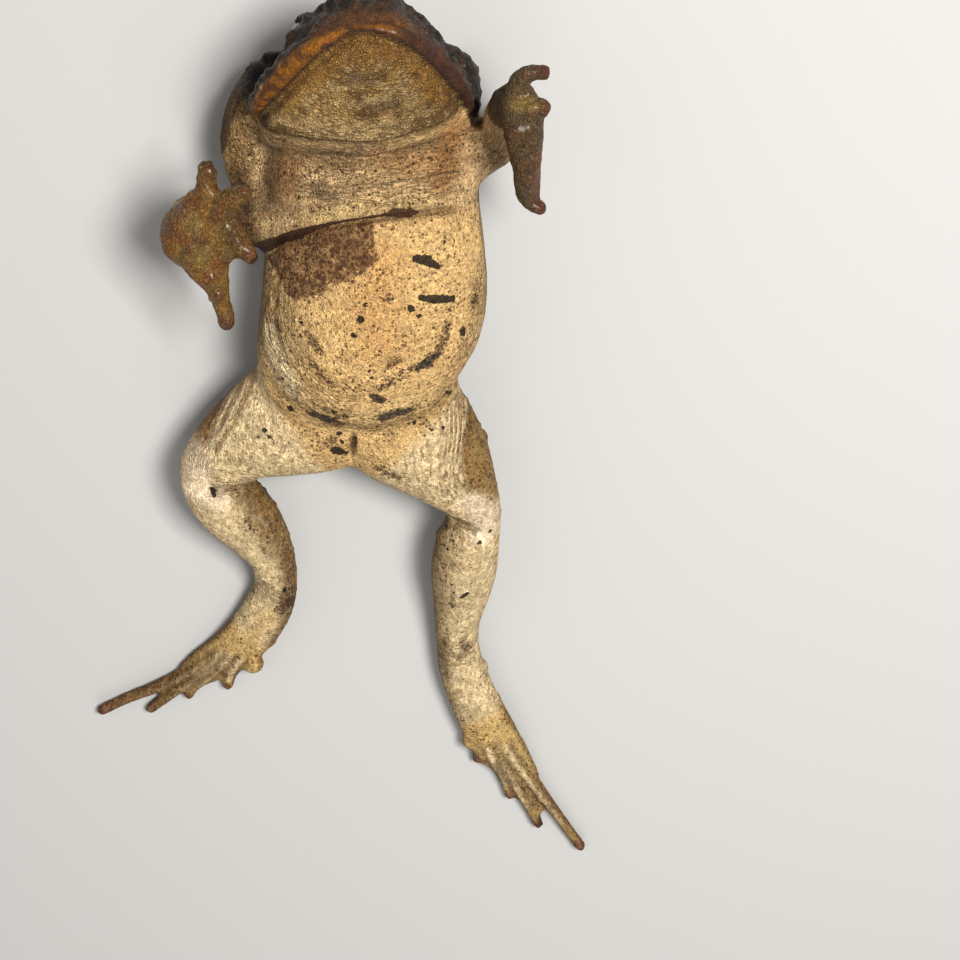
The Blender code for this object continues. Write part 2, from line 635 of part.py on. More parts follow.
def bent_sheet(profile, first_side, last_side):
    """A thin sheet across the head, whose (forward, up) profile may bend."""
    mesh = bmesh.new()
    layers = []
    for way in (-0.5, 0.5):
        line = []
        for number, (forward, up) in enumerate(profile):
            before = Vector(profile[max(number - 1, 0)])
            after = Vector(profile[min(number + 1, len(profile) - 1)])
            here = Vector((forward, up))
            turns = [(b - a).normalized() for a, b in ((before, here), (here, after)) if (b - a).length]
            normals = [Vector((-turn.y, turn.x)) for turn in turns]
            off = sum(normals, Vector((0, 0)))
            off *= len(normals) / off.length_squared
            line.append(here + off * CUT_GAP * way)
        layers.append(line)
    outline = layers[0] + layers[1][::-1]
    ends = []
    for side in (first_side, last_side):
        ends.append([mesh.verts.new(head_place(side, *point) * MM) for point in outline])
    for number in range(len(outline)):
        after = (number + 1) % len(outline)
        mesh.faces.new((ends[0][number], ends[0][after], ends[1][after], ends[1][number]))
    last = len(profile) - 1
    for end in ends:
        for number in range(last):
            mesh.faces.new((end[number], end[number + 1], end[-number - 2], end[-number - 1]))
    bmesh.ops.recalc_face_normals(mesh, faces=mesh.faces)
    return mesh


def cut_to_nodes(body):
    """Flattens what rests on the floor, opens the eyes and nostrils, and parts the body into nodes."""
    cut(body, box((0, 0, -OUTSIDE / 2), Matrix.Identity(3), (4 * OUTSIDE, 4 * OUTSIDE, OUTSIDE)))
    for left in (True, False):
        centre, turn = eye_frame(left)
        socket = EYE_RADIUS + CUT_GAP
        cut(body, ball(centre, (socket, socket, socket), fineness=SOCKET_FINENESS))
        cut(body, lid_opening(centre, turn))
        tree = skin_tree(body)
        place, normal = hit_on_head(tree, *NOSTRIL, left)
        pit = (NOSTRIL_RADIUS, NOSTRIL_RADIUS, NOSTRIL_RADIUS)
        cut(body, ball(place + normal * NOSTRIL_LIFT, pit, fineness=PIT_FINENESS))
    mouth_end = (MOUTH_END, mouth_height(MOUTH_END))
    cut(body, bent_sheet([mouth_end, HINGE, GULAR_END], -JAW_CUT_HALF_WIDTH, JAW_CUT_HALF_WIDTH))
    cut(body, bent_sheet([HINGE, NECK_END], *NECK_CUT_SIDES))
    for centre, along, across, over in LIMB_CUTS.values():
        cut(body, plate(centre, along, across, over))
    return body


def lid_opening(centre, turn):
    """A long oval cutter that leaves the eye, out of the head."""
    mesh = bmesh.new()
    bmesh.ops.create_cone(mesh, cap_ends=True, segments=20, radius1=1.0, radius2=1.0, depth=1.0)
    wide, high = LID_OPENING
    inner, outer = LID_CUT_DEPTH
    place = (turn @ Matrix.Diagonal(Vector((wide, high, outer - inner)) * MM)).to_4x4()
    place.translation = (centre + turn.col[2] * (inner + outer) / 2) * MM
    bmesh.ops.transform(mesh, matrix=place, verts=mesh.verts)
    bmesh.ops.recalc_face_normals(mesh, faces=mesh.faces)
    return mesh


def islands(mesh):
    """The faces of each closed surface of a bmesh."""
    waiting = set(mesh.faces)
    found = []
    while waiting:
        first = waiting.pop()
        group, open_faces = {first}, [first]
        while open_faces:
            for edge in open_faces.pop().edges:
                for face in edge.link_faces:
                    if face in waiting:
                        waiting.discard(face)
                        group.add(face)
                        open_faces.append(face)
        found.append(group)
    return sorted(found, key=len, reverse=True)


def named_pieces(body):
    """One object for each of the body's closed surfaces that holds a node's seed."""
    whole = bmesh.new()
    whole.from_mesh(body.data)
    free = dict(NODE_SEEDS)
    for group in islands(whole)[: len(NODE_SEEDS)]:
        middle = sum((face.calc_center_median() for face in group), Vector()) / len(group) / MM
        name = min(free, key=lambda key: (Vector(free[key]) - middle).length)
        del free[name]
        piece = bmesh.new()
        copies = {}
        for face in group:
            for vert in face.verts:
                if vert not in copies:
                    copies[vert] = piece.verts.new(vert.co)
            piece.faces.new([copies[vert] for vert in face.verts])
        bmesh.ops.triangulate(piece, faces=piece.faces)
        finish(linked(piece, name))
    whole.free()
    bpy.data.objects.remove(body)


def finish(made):
    """Gives a node its colour and smooth shading."""
    sort = made.name.removesuffix("_right").removesuffix("_left")
    colour, roughness = FINISHES[sort]
    material = bpy.data.materials.get(sort) or bpy.data.materials.new(sort)
    material.use_nodes = True
    shader = material.node_tree.nodes["Principled BSDF"]
    shader.inputs["Base Color"].default_value = (*colour, 1)
    shader.inputs["Roughness"].default_value = roughness
    material.diffuse_color = (*colour, 1)
    made.data.materials.append(material)
    made.data.shade_smooth()
    made.data.set_sharp_from_angle(angle=SHARP_EDGE)


def make_eyes():
    """The eyeballs, in nodes of their own."""
    for left in (True, False):
        mesh = bmesh.new()
        bmesh.ops.create_uvsphere(mesh, u_segments=20, v_segments=10, radius=EYE_RADIUS * MM)
        eye = linked(mesh, "eye_left" if left else "eye_right")
        centre, turn = eye_frame(left)
        eye.location = centre * MM
        eye.rotation_mode = "QUATERNION"
        eye.rotation_quaternion = turn.to_quaternion()
        finish(eye)


def main():
    for old in list(bpy.data.objects):
        bpy.data.objects.remove(old)
    rough = fused(linked(merged(masses()), "masses"), MASS_VOXEL, MASS_SMOOTHING)
    forms = head_forms(skin_tree(rough)) + digits()
    body = fused(linked(merged(forms, rough.data), "body"), SKIN_VOXEL, SKIN_SMOOTHING)
    bpy.data.objects.remove(rough)
    body = thinned(detailed(body), BODY_TRIANGLES)
    named_pieces(cut_to_nodes(body))
    make_eyes()


if __name__ == "__main__":
    main()
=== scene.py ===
# %% [markdown]
# # A cane toad on its back
#
# A museum keeps its toads as still, life-size models. This one lies belly up and limp, so that its
# pale, speckled underside shows. The solids come in as a fixed frame. What they lack is a skin: one
# surface with no seams, with folds, warts and markings, and a pair of eyes that look alive.

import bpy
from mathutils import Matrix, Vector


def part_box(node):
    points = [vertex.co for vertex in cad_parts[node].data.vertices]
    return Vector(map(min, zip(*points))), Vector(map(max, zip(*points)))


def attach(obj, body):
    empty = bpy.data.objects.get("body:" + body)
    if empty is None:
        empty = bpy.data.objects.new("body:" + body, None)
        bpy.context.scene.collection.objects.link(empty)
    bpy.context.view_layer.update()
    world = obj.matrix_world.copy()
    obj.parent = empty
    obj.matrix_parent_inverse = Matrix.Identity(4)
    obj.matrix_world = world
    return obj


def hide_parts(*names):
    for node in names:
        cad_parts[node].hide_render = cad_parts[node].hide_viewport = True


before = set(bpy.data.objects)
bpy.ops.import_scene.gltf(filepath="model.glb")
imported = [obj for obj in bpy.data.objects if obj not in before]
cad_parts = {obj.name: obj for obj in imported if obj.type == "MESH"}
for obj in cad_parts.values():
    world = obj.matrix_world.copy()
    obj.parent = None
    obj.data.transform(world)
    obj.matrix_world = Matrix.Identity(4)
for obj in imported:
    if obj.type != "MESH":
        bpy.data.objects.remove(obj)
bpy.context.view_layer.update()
print("solids loaded:", len(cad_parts))

# %% The tools, and the unit of the tables
import math

import bmesh
import bpy
import numpy as np
from mathutils import Matrix, Vector, noise
from mathutils.kdtree import KDTree

MM = 0.001
rng = np.random.default_rng(8)

# %% [markdown]
# ## The camera
#
# The camera looks down on the toad from beyond its head, so that the body stands upright in the picture
# with the mouth at the top. Its place, tilt and angle of view come from matching the solids to the
# photograph.

# %% The camera
CAMERA_PLACE = (0.0433, 0.2163, 0.6949)
CAMERA_TILT = math.radians(24)
VIEW_ANGLE = math.radians(30)


def shown(name, data):
    """A new object that holds the data, linked to the scene."""
    made = bpy.data.objects.new(name, data)
    bpy.context.scene.collection.objects.link(made)
    return made


camera = shown("camera", bpy.data.cameras.new("camera"))
camera.data.lens_unit = "FOV"
camera.data.angle = VIEW_ANGLE
camera.location = CAMERA_PLACE
camera.rotation_euler = (-CAMERA_TILT, 0, 0)
bpy.context.scene.camera = camera
print("camera height in metres:", CAMERA_PLACE[2])

# %% [markdown]
# ## One skin over all the solids
#
# On the real toad the skin runs on over jaw, neck and joints. The solids are parted there by narrow
# gaps. Each flesh node is copied, grown by a hair's breadth so that it touches its neighbours, and all
# copies are fused with a voxel remesh. That gives small, even faces, which is what sculpting in code
# needs. The voxels are as small as a limit of 200,000 triangles allows.

# %% The fused skin
SKIN_VOXEL = 1.13
SEAM_FILL = 0.2
SAME_PLACE = 0.01
FLESH = [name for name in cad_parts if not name.startswith("eye_")]


def swollen(name):
    """A copy of a node with its loose triangles joined, grown enough to close the gap to its neighbours."""
    copy = bmesh.new()
    copy.from_mesh(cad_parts[name].data)
    bmesh.ops.remove_doubles(copy, verts=copy.verts, dist=SAME_PLACE * MM)
    copy.normal_update()
    for vert in copy.verts:
        vert.co += vert.normal * SEAM_FILL * MM
    scrap = bpy.data.meshes.new(name)
    copy.to_mesh(scrap)
    copy.free()
    return scrap


def fused_skin():
    whole = bmesh.new()
    for name in FLESH:
        scrap = swollen(name)
        whole.from_mesh(scrap)
        bpy.data.meshes.remove(scrap)
    data = bpy.data.meshes.new("fused")
    whole.to_mesh(data)
    whole.free()
    made = shown("skin", data)
    remesh = made.modifiers.new("one skin", "REMESH")
    remesh.mode = "VOXEL"
    remesh.voxel_size = SKIN_VOXEL * MM
    graph = bpy.context.evaluated_depsgraph_get()
    made_data = bpy.data.meshes.new_from_object(made.evaluated_get(graph))
    made.modifiers.clear()
    made.data = made_data
    bpy.data.meshes.remove(data)
    return made


skin = fused_skin()
print("skin faces:", len(skin.data.polygons))

# %% [markdown]
# ## Clay in code
#
# From here the skin is treated as clay. Its points are kept in one array, in millimetres, and every
# tool below pushes them along their normals. A slow blur that first shrinks and then swells the surface
# takes away the solids' facets without making the thin toes thinner.

# %% The clay and its smoothing
BLUR_IN = 0.5
BLUR_OUT = -0.52
FACET_ROUNDS = 9


def read_array(items, key, width):
    flat = np.empty(len(items) * width)
    items.foreach_get(key, flat)
    return flat.reshape(-1, width)


mesh = skin.data
points = read_array(mesh.vertices, "co", 3) / MM
edges = read_array(mesh.edges, "vertices", 2).astype(int)
neighbours = np.bincount(edges.ravel(), minlength=len(points))


def beside_mean(values):
    """For each point, the mean of its neighbours' values."""
    columns = values.reshape(len(values), -1)
    means = np.empty_like(columns, dtype=float)
    for number in range(columns.shape[1]):
        column = columns[:, number]
        total = np.bincount(edges[:, 0], column[edges[:, 1]], len(column))
        total += np.bincount(edges[:, 1], column[edges[:, 0]], len(column))
        means[:, number] = total / neighbours
    return means.reshape(values.shape)


def blurred(values, rounds, share=BLUR_IN):
    for _ in range(rounds):
        values = values + (beside_mean(values) - values) * share
    return values


def defaceted(places, rounds):
    for _ in range(rounds):
        places = blurred(blurred(places, 1), 1, BLUR_OUT)
    return places


def update_normals():
    """Writes the points into the mesh and returns the normals."""
    mesh.vertices.foreach_set("co", (points * MM).ravel())
    mesh.update()
    return read_array(mesh.vertex_normals, "vector", 3)


points = defaceted(points, FACET_ROUNDS)
normals = update_normals()
print("skin points:", len(points))

# %% [markdown]
# ## Which part of the toad is this?
#
# The tools need to know where the head, the hands or the thighs are. Each skin point takes the name of the
# node that it lies on. Blurring such a yes-or-no list gives a soft mask, so nothing ends in a hard line.

# %% Masks for the parts of the body
near_solid = []
for name in FLESH:
    near_solid += [(vert.co.copy(), name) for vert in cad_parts[name].data.vertices]
finder = KDTree(len(near_solid))
for number, (place, _) in enumerate(near_solid):
    finder.insert(place, number)
finder.balance()
owners = np.array([near_solid[finder.find(place)[1]][1] for place in points * MM])


def part_mask(*stems, rounds=9):
    """A soft mask of the nodes whose names start with one of the stems."""
    inside = np.zeros(len(points))
    for name in FLESH:
        if name.startswith(stems):
            inside[owners == name] = 1
    return blurred(inside, rounds)


def step(values, low, high):
    """0 below low, 1 above high and an easy rise between them. It also works with low above high."""
    share = np.clip((values - low) / (high - low), 0, 1)
    return share * share * (3 - 2 * share)


up_facing = step(normals[:, 2], -0.1, 0.3)
head = part_mask("head", rounds=3)
whole_head = part_mask("head", "lower_jaw", rounds=3)
thighs, shanks = part_mask("thigh"), part_mask("shank", "tarsus")
hands, feet = part_mask("hand"), part_mask("foot")
print("parts found:", sorted(set(owners)))

# %% [markdown]
# ## Lines and dabs seen from above
#
# Folds, ridges and stains are noted as a sculptor would note them on a sketch of the belly: short lists
# of places, seen from straight above, that a smooth line runs through. For any line, each point of the
# skin then has a distance, a side and a place along the line.

# %% Distances from a drawn line
CURVE_STEPS = 6
FAR = 1000.0


def smooth_line(places):
    """A smooth curve through the places, as an array of rows."""
    rows = [np.array(place, float) for place in places]
    if len(rows) < 3:
        return np.array(rows)
    rows = [2 * rows[0] - rows[1], *rows, 2 * rows[-1] - rows[-2]]
    curve = []
    for before, start, end, after in zip(rows, rows[1:], rows[2:], rows[3:]):
        for number in range(CURVE_STEPS):
            t = number / CURVE_STEPS
            bend = (2 * before - 5 * start + 4 * end - after) * t**2
            turn = (3 * start - before - 3 * end + after) * t**3
            curve.append(0.5 * (2 * start + (end - before) * t + bend + turn))
    curve.append(rows[-2])
    return np.array(curve)


def from_line(places, plane=None):
    """Each point's distance from the line, negative on its right, its place along it, and the length."""
    line = smooth_line(places)
    plane = points[:, :2] if plane is None else plane
    gap, side, along = np.full(len(plane), FAR), np.ones(len(plane)), np.zeros(len(plane))
    walked = 0.0
    for start, end in zip(line[:, :2], line[1:, :2]):
        way = end - start
        length = np.hypot(*way)
        off = plane - start
        share = np.clip(off @ way / length**2, 0, 1)
        rest = off - share[:, None] * way
        here = np.hypot(rest[:, 0], rest[:, 1])
        nearer = here < gap
        gap = np.where(nearer, here, gap)
        side = np.where(nearer, np.sign(way[0] * off[:, 1] - way[1] * off[:, 0]), side)
        along = np.where(nearer, walked + share * length, along)
        walked += length
    return gap * side, along, walked


def ends_fade(along, length, share=0.12):
    """1 along the line, falling to 0 at both ends."""
    return step(along, 0, share * length) * step(along, length, (1 - share) * length)


def push(amount):
    """Moves every point along its normal by the amount, in millimetres."""
    global points, normals
    points = points + normals * amount[:, None]
    normals = update_normals()


def bell(values, width):
    return np.exp(-((values / width) ** 2))


# %% [markdown]
# ## The head's own axes
#
# The head is tilted towards the chest, turned and rolled a little, so its lines are easier to draw in
# its own axes: to the toad's left, forward along the jaw, and up through the crown, all from between
# the jaw corners.

# %% Points seen from the head
HEAD_TILT = math.radians(51)
HEAD_TURN = math.radians(8)
HEAD_ROLL = math.radians(5)
JAW_CENTRE = np.array((0.2, 74.0, 42.0))
MOUTH_SLOPE = 0.15
MOUTH_DROP = -2.5


def spun(first, second, angle):
    """Two directions square to each other, turned in their plane from the first towards the second."""
    cos, sin = math.cos(angle), math.sin(angle)
    return first * cos + second * sin, second * cos - first * sin


head_forward = Vector((0, math.cos(HEAD_TILT), math.sin(HEAD_TILT)))
head_up = Vector((0, math.sin(HEAD_TILT), -math.cos(HEAD_TILT)))
head_side, head_forward = spun(Vector((1, 0, 0)), head_forward, -HEAD_TURN)
head_side, head_up = spun(head_side, head_up, HEAD_ROLL)
head_axes = Matrix((head_side, head_forward, head_up)).transposed()


# The mouth's line as (side, forward), from corner to corner. The lips lie on its left side, the chin on
# its right.
MOUTH = [
    (-38, -10), (-37, 0), (-34, 9), (-27, 23.5), (-20.5, 33.5), (-14, 41), (-7.5, 45), (-0.5, 46),
    (7, 44.5), (14.5, 40), (22, 31.5), (28.5, 21.5), (34, 12), (37, 4),
]


def seen_from_head():
    """Each point's place to the side, ahead and up from the mouth's plane, and its gap to the mouth."""
    side, forward, up = ((points - JAW_CENTRE) @ np.array(head_axes)).T
    from_mouth = from_line(MOUTH, np.stack([side, forward], axis=1))[0]
    return side, forward, up - (MOUTH_DROP + MOUTH_SLOPE * forward), from_mouth


# %% [markdown]
# ## Mouth, lips and folds
#
# The closed mouth is a thin groove. Above it runs a thick, rounded lip, set off from the rough skin of
# the snout by a second, shallower groove. Skin folds differ from grooves: on one side the skin rolls
# over the line, and on the other it runs in flat. So each fold is a cut plus a roll beside it.

# %% The mouth and the lips
LIP_TOP = (1.2, 3.6)


def lip_edge(forward):
    """How far the lip reaches up from the mouth: narrow at the sides, broad at the tip of the snout."""
    return LIP_TOP[0] + (LIP_TOP[1] - LIP_TOP[0]) * step(forward, 20, 42)


side, forward, over_mouth, from_mouth = seen_from_head()
face = whole_head * step(forward, -12, -4) * step(over_mouth, 5, 1)
lips = 0.7 * bell(from_mouth - 2.8, 1.7) + 0.5 * bell(from_mouth + 2.2, 1.3)
push((lips - 2.0 * bell(from_mouth, 1.0)) * face)
push(-0.9 * bell(over_mouth - lip_edge(forward) - 1.5, 1.2) * head * step(forward, -4, 6))

# %% The folds
# Each fold is its line, its half width, its depth and the height of the roll on the line's left side.
GULAR = [
    (-40, 69), (-36, 69), (-29, 68), (-21, 67), (-10, 66), (0, 65.3), (7, 65.4), (13.5, 66.5), (20, 68),
    (26.5, 69.5), (33, 72.5), (36, 74), (39, 76.5),
]
CHEST = [
    (-40, 21), (-29, 28), (-19, 32.5), (-8, 35.5), (4, 37.5), (14, 38.5), (24, 39), (33, 38.5),
    (41, 36),
]
FOLDS = [
    (GULAR, 1.1, 2.4, 1.4),
    ([(-47, 69.5), (-41.5, 66.5), (-36, 66), (-31, 65.5), (-25, 65.5), (-20, 64)], 1.0, 1.0, 0.5),
    ([(-47, 64), (-44, 64), (-40, 61.5), (-34, 60), (-28, 60.5)], 1.0, 0.9, 0.5),
    ([(-48, 60), (-43.5, 57.5), (-40, 53.5)], 1.0, 0.8, 0.4),
    ([(-24, 61.5), (-6, 59.5), (9, 59.5), (23, 62.5), (33, 65)], 1.1, 0.5, 0.3),
    ([(-19, 41), (-14, 43), (-8, 43.5)], 1.0, 0.6, 0.3),
    ([(4, 69.5), (14, 71), (24, 74), (32, 78.5), (37, 83)], 0.9, 0.7, 0.5),
    ([(12, 75.5), (22, 78), (30, 83)], 0.9, 0.5, 0.4),
    ([(-34, 71), (-26, 70.5), (-16, 69.5), (-6, 69)], 0.9, 0.5, 0.4),
    ([(-29.5, 17.7), (-33.2, 7.2), (-34.4, -4.6), (-31.5, -15.2), (-25, -24),
      (-15.7, -31.4)], 1.0, 0.6, 0.45),
    ([(-37.3, 5.3), (-40.5, -7.7), (-40.7, -17), (-36.5, -24), (-29.4, -30.4)], 1.0, 0.6, 0.45),
    (CHEST, 1.2, 2.3, 1.5),
    ([(-36, -33), (-26, -37), (-18, -42), (-10, -46), (2, -48), (16, -45), (26, -41),
      (32, -37)], 1.4, 0.9, 0.5),
    ([(-6, -54.5), (-6.6, -58.5), (-7.4, -63.5)], 0.9, 2.0, 0.5),
    ([(-66, -81), (-58, -81.5), (-51, -83), (-46, -85)], 1.2, 1.6, 0.9),
    ([(30, -94), (34, -95), (39, -97), (43, -100)], 1.2, 1.6, 0.9),
    ([(-50, -134), (-44, -137), (-39, -142)], 1.2, 0.7, 0.3),
    ([(27, -166), (33, -168), (40, -167)], 1.2, 0.7, 0.3),
    ([(-58, 4), (-54, 4.4), (-49.5, 4)], 0.9, 0.9, 0.4),
    ([(-58.5, 10), (-54, 10.5), (-50, 10)], 0.9, 0.7, 0.4),
    ([(-63, 17), (-57, 17.5), (-50.5, 20)], 1.0, 0.7, 0.4),
    ([(-59.5, 50.5), (-55.5, 51.5), (-52, 50.5)], 0.9, 0.8, 0.4),
    ([(-66, 45), (-57, 45.5), (-50, 42), (-47, 38)], 1.0, 0.6, 0.3),
    ([(-50, 34), (-47, 31), (-47, 26)], 0.9, 0.8, 0.4),
    ([(-68, 30), (-62, 24), (-56, 24), (-50, 27)], 1.1, 0.6, 0.3),
    ([(52, 82), (58, 83.5), (65, 82)], 0.9, 0.8, 0.4),
    ([(63, 94), (63, 88.5)], 0.8, 0.6, 0.3),
    ([(64, 83), (63.5, 76)], 0.8, 0.7, 0.3),
    ([(54, 56), (60, 55), (66, 57)], 0.9, 0.6, 0.3),
]
ROLL_OFFSET = 2.4
ROLL_WIDTH = 2.2
# Where shade falls in each fold's crease, kept for painted shade in the ground colours.
fold_shade = np.zeros(len(points))


def fold(line, half_width, depth, roll):
    global fold_shade
    off, along, length = from_line(line)
    reach = up_facing * ends_fade(along, length)
    push((roll * bell(off - ROLL_OFFSET, ROLL_WIDTH) - depth * bell(off, half_width)) * reach)
    fold_shade = np.maximum(fold_shade, min(depth / 2, 1.0) * reach * bell(off + 0.6, 1.3 * half_width))


for row in FOLDS:
    fold(*row)

# %% The ridges of loose skin on the thighs, and those over the bones of the feet
RIDGES = [
    ([(-47, -29), (-50.5, -38), (-56, -48.5), (-61, -57), (-65, -64)], 1.0, 0.9),
    ([(-50.5, -30), (-54, -39), (-59.5, -49), (-64.5, -57)], 0.9, 0.8),
    ([(37.5, -41), (37, -49), (36, -58), (34.5, -69)], 0.8, 0.8),
    ([(34, -42), (33.5, -50), (32.5, -58), (31, -68)], 0.7, 0.6),
    ([(31, -44), (30, -52), (29, -60)], 0.7, 0.4),
    ([(-112, -197), (-101.5, -193), (-87, -185), (-76, -177), (-66, -168)], 1.4, 0.8),
    ([(-98, -199), (-88, -191), (-80, -184), (-70, -174)], 1.4, 0.9),
    ([(-84, -192), (-78, -187), (-71, -179), (-64, -170)], 1.4, 0.8),
    ([(-68.5, -188), (-66, -182), (-60, -172)], 1.6, 0.8),
    ([(84, -268.5), (75.5, -255), (66.5, -241), (58, -226), (53, -214)], 1.4, 0.8),
    ([(67, -258), (61, -246), (56, -235), (51, -224)], 1.4, 0.9),
    ([(56, -245), (53.5, -237), (50, -229), (46, -216)], 1.4, 0.8),
]
RIDGE_TROUGH = 2.6
# The crests and troughs are kept for the ground colours: a painted highlight on the crests and painted shade
# in the troughs.
ridge_crest_light, ridge_trough_shade = np.zeros(len(points)), np.zeros(len(points))
for line, half_width, height in RIDGES:
    off, along, length = from_line(line)
    reach = up_facing * ends_fade(along, length)
    trough = bell(off - RIDGE_TROUGH, half_width) + bell(off + RIDGE_TROUGH, half_width)
    push((height * bell(off, half_width) - 0.4 * height * trough) * reach)
    ridge_crest_light = np.maximum(ridge_crest_light, height * reach * bell(off, half_width))
    ridge_trough_shade = np.maximum(ridge_trough_shade, height * reach * trough)

# %% [markdown]
# ## Wrinkles that follow the folds
#
# Loose skin falls into many fine wrinkles, side by side with the nearest fold. A noise that is read
# along the line slowly and across it fast gives such strands. Where they are is kept for the material
# too, which draws the finest of them.

# %% The wrinkles
# Each row is a guide line, how far the wrinkles reach from it, their spacing and their depth.
WRINKLES = [
    (GULAR, 10, 2.4, 0.6),
    ([(-27, 54.5), (-11, 53.5), (7, 54.5), (25, 57), (37, 59)], 12, 2.4, 0.3),
    ([(-28, 45.5), (-11, 45.5), (7, 46.5), (25, 47.5), (38, 48)], 9, 2.6, 0.15),
    ([(-30, 18), (-34, 7), (-35, -5), (-32, -15), (-25, -24), (-14, -32), (0, -36)], 13, 2.1, 0.4),
    ([(44, 16), (45, 0), (42.5, -14), (36, -25), (27, -33)], 8, 1.9, 0.25),
    ([(-38, -31), (-26, -37), (-18, -42), (-10, -46), (2, -48), (16, -45), (26, -41),
      (34, -34)], 9, 2.0, 0.4),
    ([(36, -41), (35.5, -49), (34.5, -58), (32.5, -69), (36, -84)], 8, 1.6, 0.2),
    ([(-49, -30), (-58, -49), (-67, -64), (-70, -74)], 7, 1.8, 0.15),
    ([(-67, -81), (-58, -82), (-51, -83), (-45, -86)], 8, 2.0, 0.35),
    ([(29, -94), (36, -96), (43, -99)], 8, 2.0, 0.35),
    ([(-52, -133), (-44, -138), (-38, -143)], 9, 2.0, 0.3),
    ([(25, -166), (33, -168), (42, -167)], 10, 2.0, 0.3),
    ([(46, 52), (52, 62), (54, 74)], 12, 1.6, 0.3),
    ([(-46, 46), (-46, 34), (-46, 22)], 9, 1.7, 0.4),
    ([(-50, 76), (-49, 66), (-47, 54)], 11, 2.2, 0.45),
    ([(-5, 80), (8, 84), (20, 86)], 22, 2.6, 0.2),
]
# The pleats are rows of fine lines beside one line: the line, how far they reach, and their spacing.
PLEATS = [
    ([(-48.5, -29), (-52, -38.5), (-57.5, -48.5), (-62.5, -57), (-66, -63)], 3.2, 2.6),
    ([(33.5, -42), (33.5, -50), (33, -58), (31.5, -70)], 5.0, 1.7),
]
STRAND_STRETCH = 5.0
STRAND_BEND = 1.6
GUIDE_SHIFT = 9.0
FAINT = 0.02
drawn = np.zeros(len(points))
lie = np.stack([points[:, 0], points[:, 1] * 0.4, points[:, 2]], axis=1)


def noise_at(rows, mask):
    """Smooth noise from about -1 to 1 at the rows where the mask is high, and 0 elsewhere."""
    chosen = mask > FAINT
    values = np.zeros(len(rows))
    values[chosen] = [noise.noise(row) for row in rows[chosen]]
    return values


def mottled(size, shift, mask):
    """Noise on the skin, with lumps of a size in millimetres. Another shift gives another pattern."""
    return noise_at(points / size + shift, mask)


for number, (line, reach, spacing, depth) in enumerate(WRINKLES):
    off, along, length = from_line(line)
    weight = step(np.abs(off), reach, 0.3 * reach) * up_facing * ends_fade(along, length, 0.08)
    bent = off + STRAND_BEND * mottled(8.0, number, weight)
    apart = np.full(len(off), GUIDE_SHIFT * number)
    strands = np.stack([bent / spacing, along / (spacing * STRAND_STRETCH), apart], axis=1)
    height = noise_at(strands, weight)
    uneven = 1 + 0.8 * mottled(11.0, 20 + number, weight)
    push(depth * weight * uneven * (1 - 2.6 * np.abs(height)))
    stronger = weight > drawn
    drawn = np.maximum(drawn, weight)
    lie[stronger] = np.stack([bent, along / STRAND_STRETCH, apart], axis=1)[stronger]

pleats, pleat_turn = np.zeros(len(points)), np.zeros(len(points))
for line, reach, spacing in PLEATS:
    off, along, length = from_line(line)
    weight = step(np.abs(off), reach, 0.3 * reach) * up_facing * ends_fade(along, length, 0.35)
    swing = mottled(14.0, reach, weight)
    pleat_turn = np.where(weight > pleats, 2 * math.pi * off / spacing + 2.0 * swing, pleat_turn)
    pleats = np.maximum(pleats, weight)
print("wrinkled points:", int((drawn > 0.1).sum()), "pleated points:", int((pleats > 0.1).sum()))

# %% [markdown]
# ## Warts, tubercles and rough skin
#
# A cane toad's back, flanks and legs are covered in warts of many sizes, each a low cone. The soles and
# palms carry smooth, rounded tubercles under each joint. The crown of the head is the roughest part:
# crumpled skin stretched over bone.

# %% A tool that raises bumps
skin_finder = KDTree(len(points))
for number, place in enumerate(points):
    skin_finder.insert(place, number)
skin_finder.balance()


def raise_bumps(bumps, sharpness):
    """Raises a bump at each (point number, radius, height), and returns how far up a bump each point is."""
    lift = np.zeros(len(points))
    top = np.zeros(len(points))
    for number, radius, height in bumps:
        for _, index, gap in skin_finder.find_range(points[number], radius):
            share = (1 - (gap / radius) ** 2) ** sharpness
            lift[index] = max(lift[index], share * height)
            top[index] = max(top[index], share)
    push(lift)
    return top


NEAR_CELLS = [(x, y, z) for x in (-1, 0, 1) for y in (-1, 0, 1) for z in (-1, 0, 1)]


def scattered(mask, spacing):
    """Numbers of points spread at random where the mask is high, no two nearer than the spacing."""
    wanted = np.flatnonzero(rng.random(len(points)) < mask)
    rng.shuffle(wanted)
    cells = {}
    for number in wanted:
        cell = tuple((points[number] // spacing).astype(int))
        around = [cells.get(tuple(np.add(cell, step))) for step in NEAR_CELLS]
        if all(other is None or np.linalg.norm(points[number] - points[other]) > spacing for other in around):
            cells[cell] = number
    return list(cells.values())


# %% Warts
trunk = part_mask("torso")
arms = part_mask("upper_arm", "forearm")
dorsal = step(normals[:, 2], -0.1, -0.5)
inner_side = np.sign(-points[:, 0]) * normals[:, 0]
clear_of_floor = step(points[:, 2], 1.0, 3.0)

BIG_WARTS = (9.0, (2.4, 4.0), 0.34)
SMALL_WARTS = (3.6, (0.9, 1.7), 0.32)


def warts(mask, spacing, radii, rise):
    bumps = []
    for number in scattered(mask * clear_of_floor, spacing):
        radius = rng.uniform(*radii)
        bumps.append((number, radius, radius * rise))
    return raise_bumps(bumps, 1.6)


wart_tops = warts(0.05 * dorsal * (trunk + 0.5 * thighs + 0.4 * shanks), *BIG_WARTS)
side_skin = np.clip(dorsal * (trunk + thighs + shanks + arms), 0, 1)
wart_tops = np.maximum(wart_tops, warts(0.3 * side_skin, *SMALL_WARTS))
print("warted points:", int((wart_tops > 0.2).sum()))

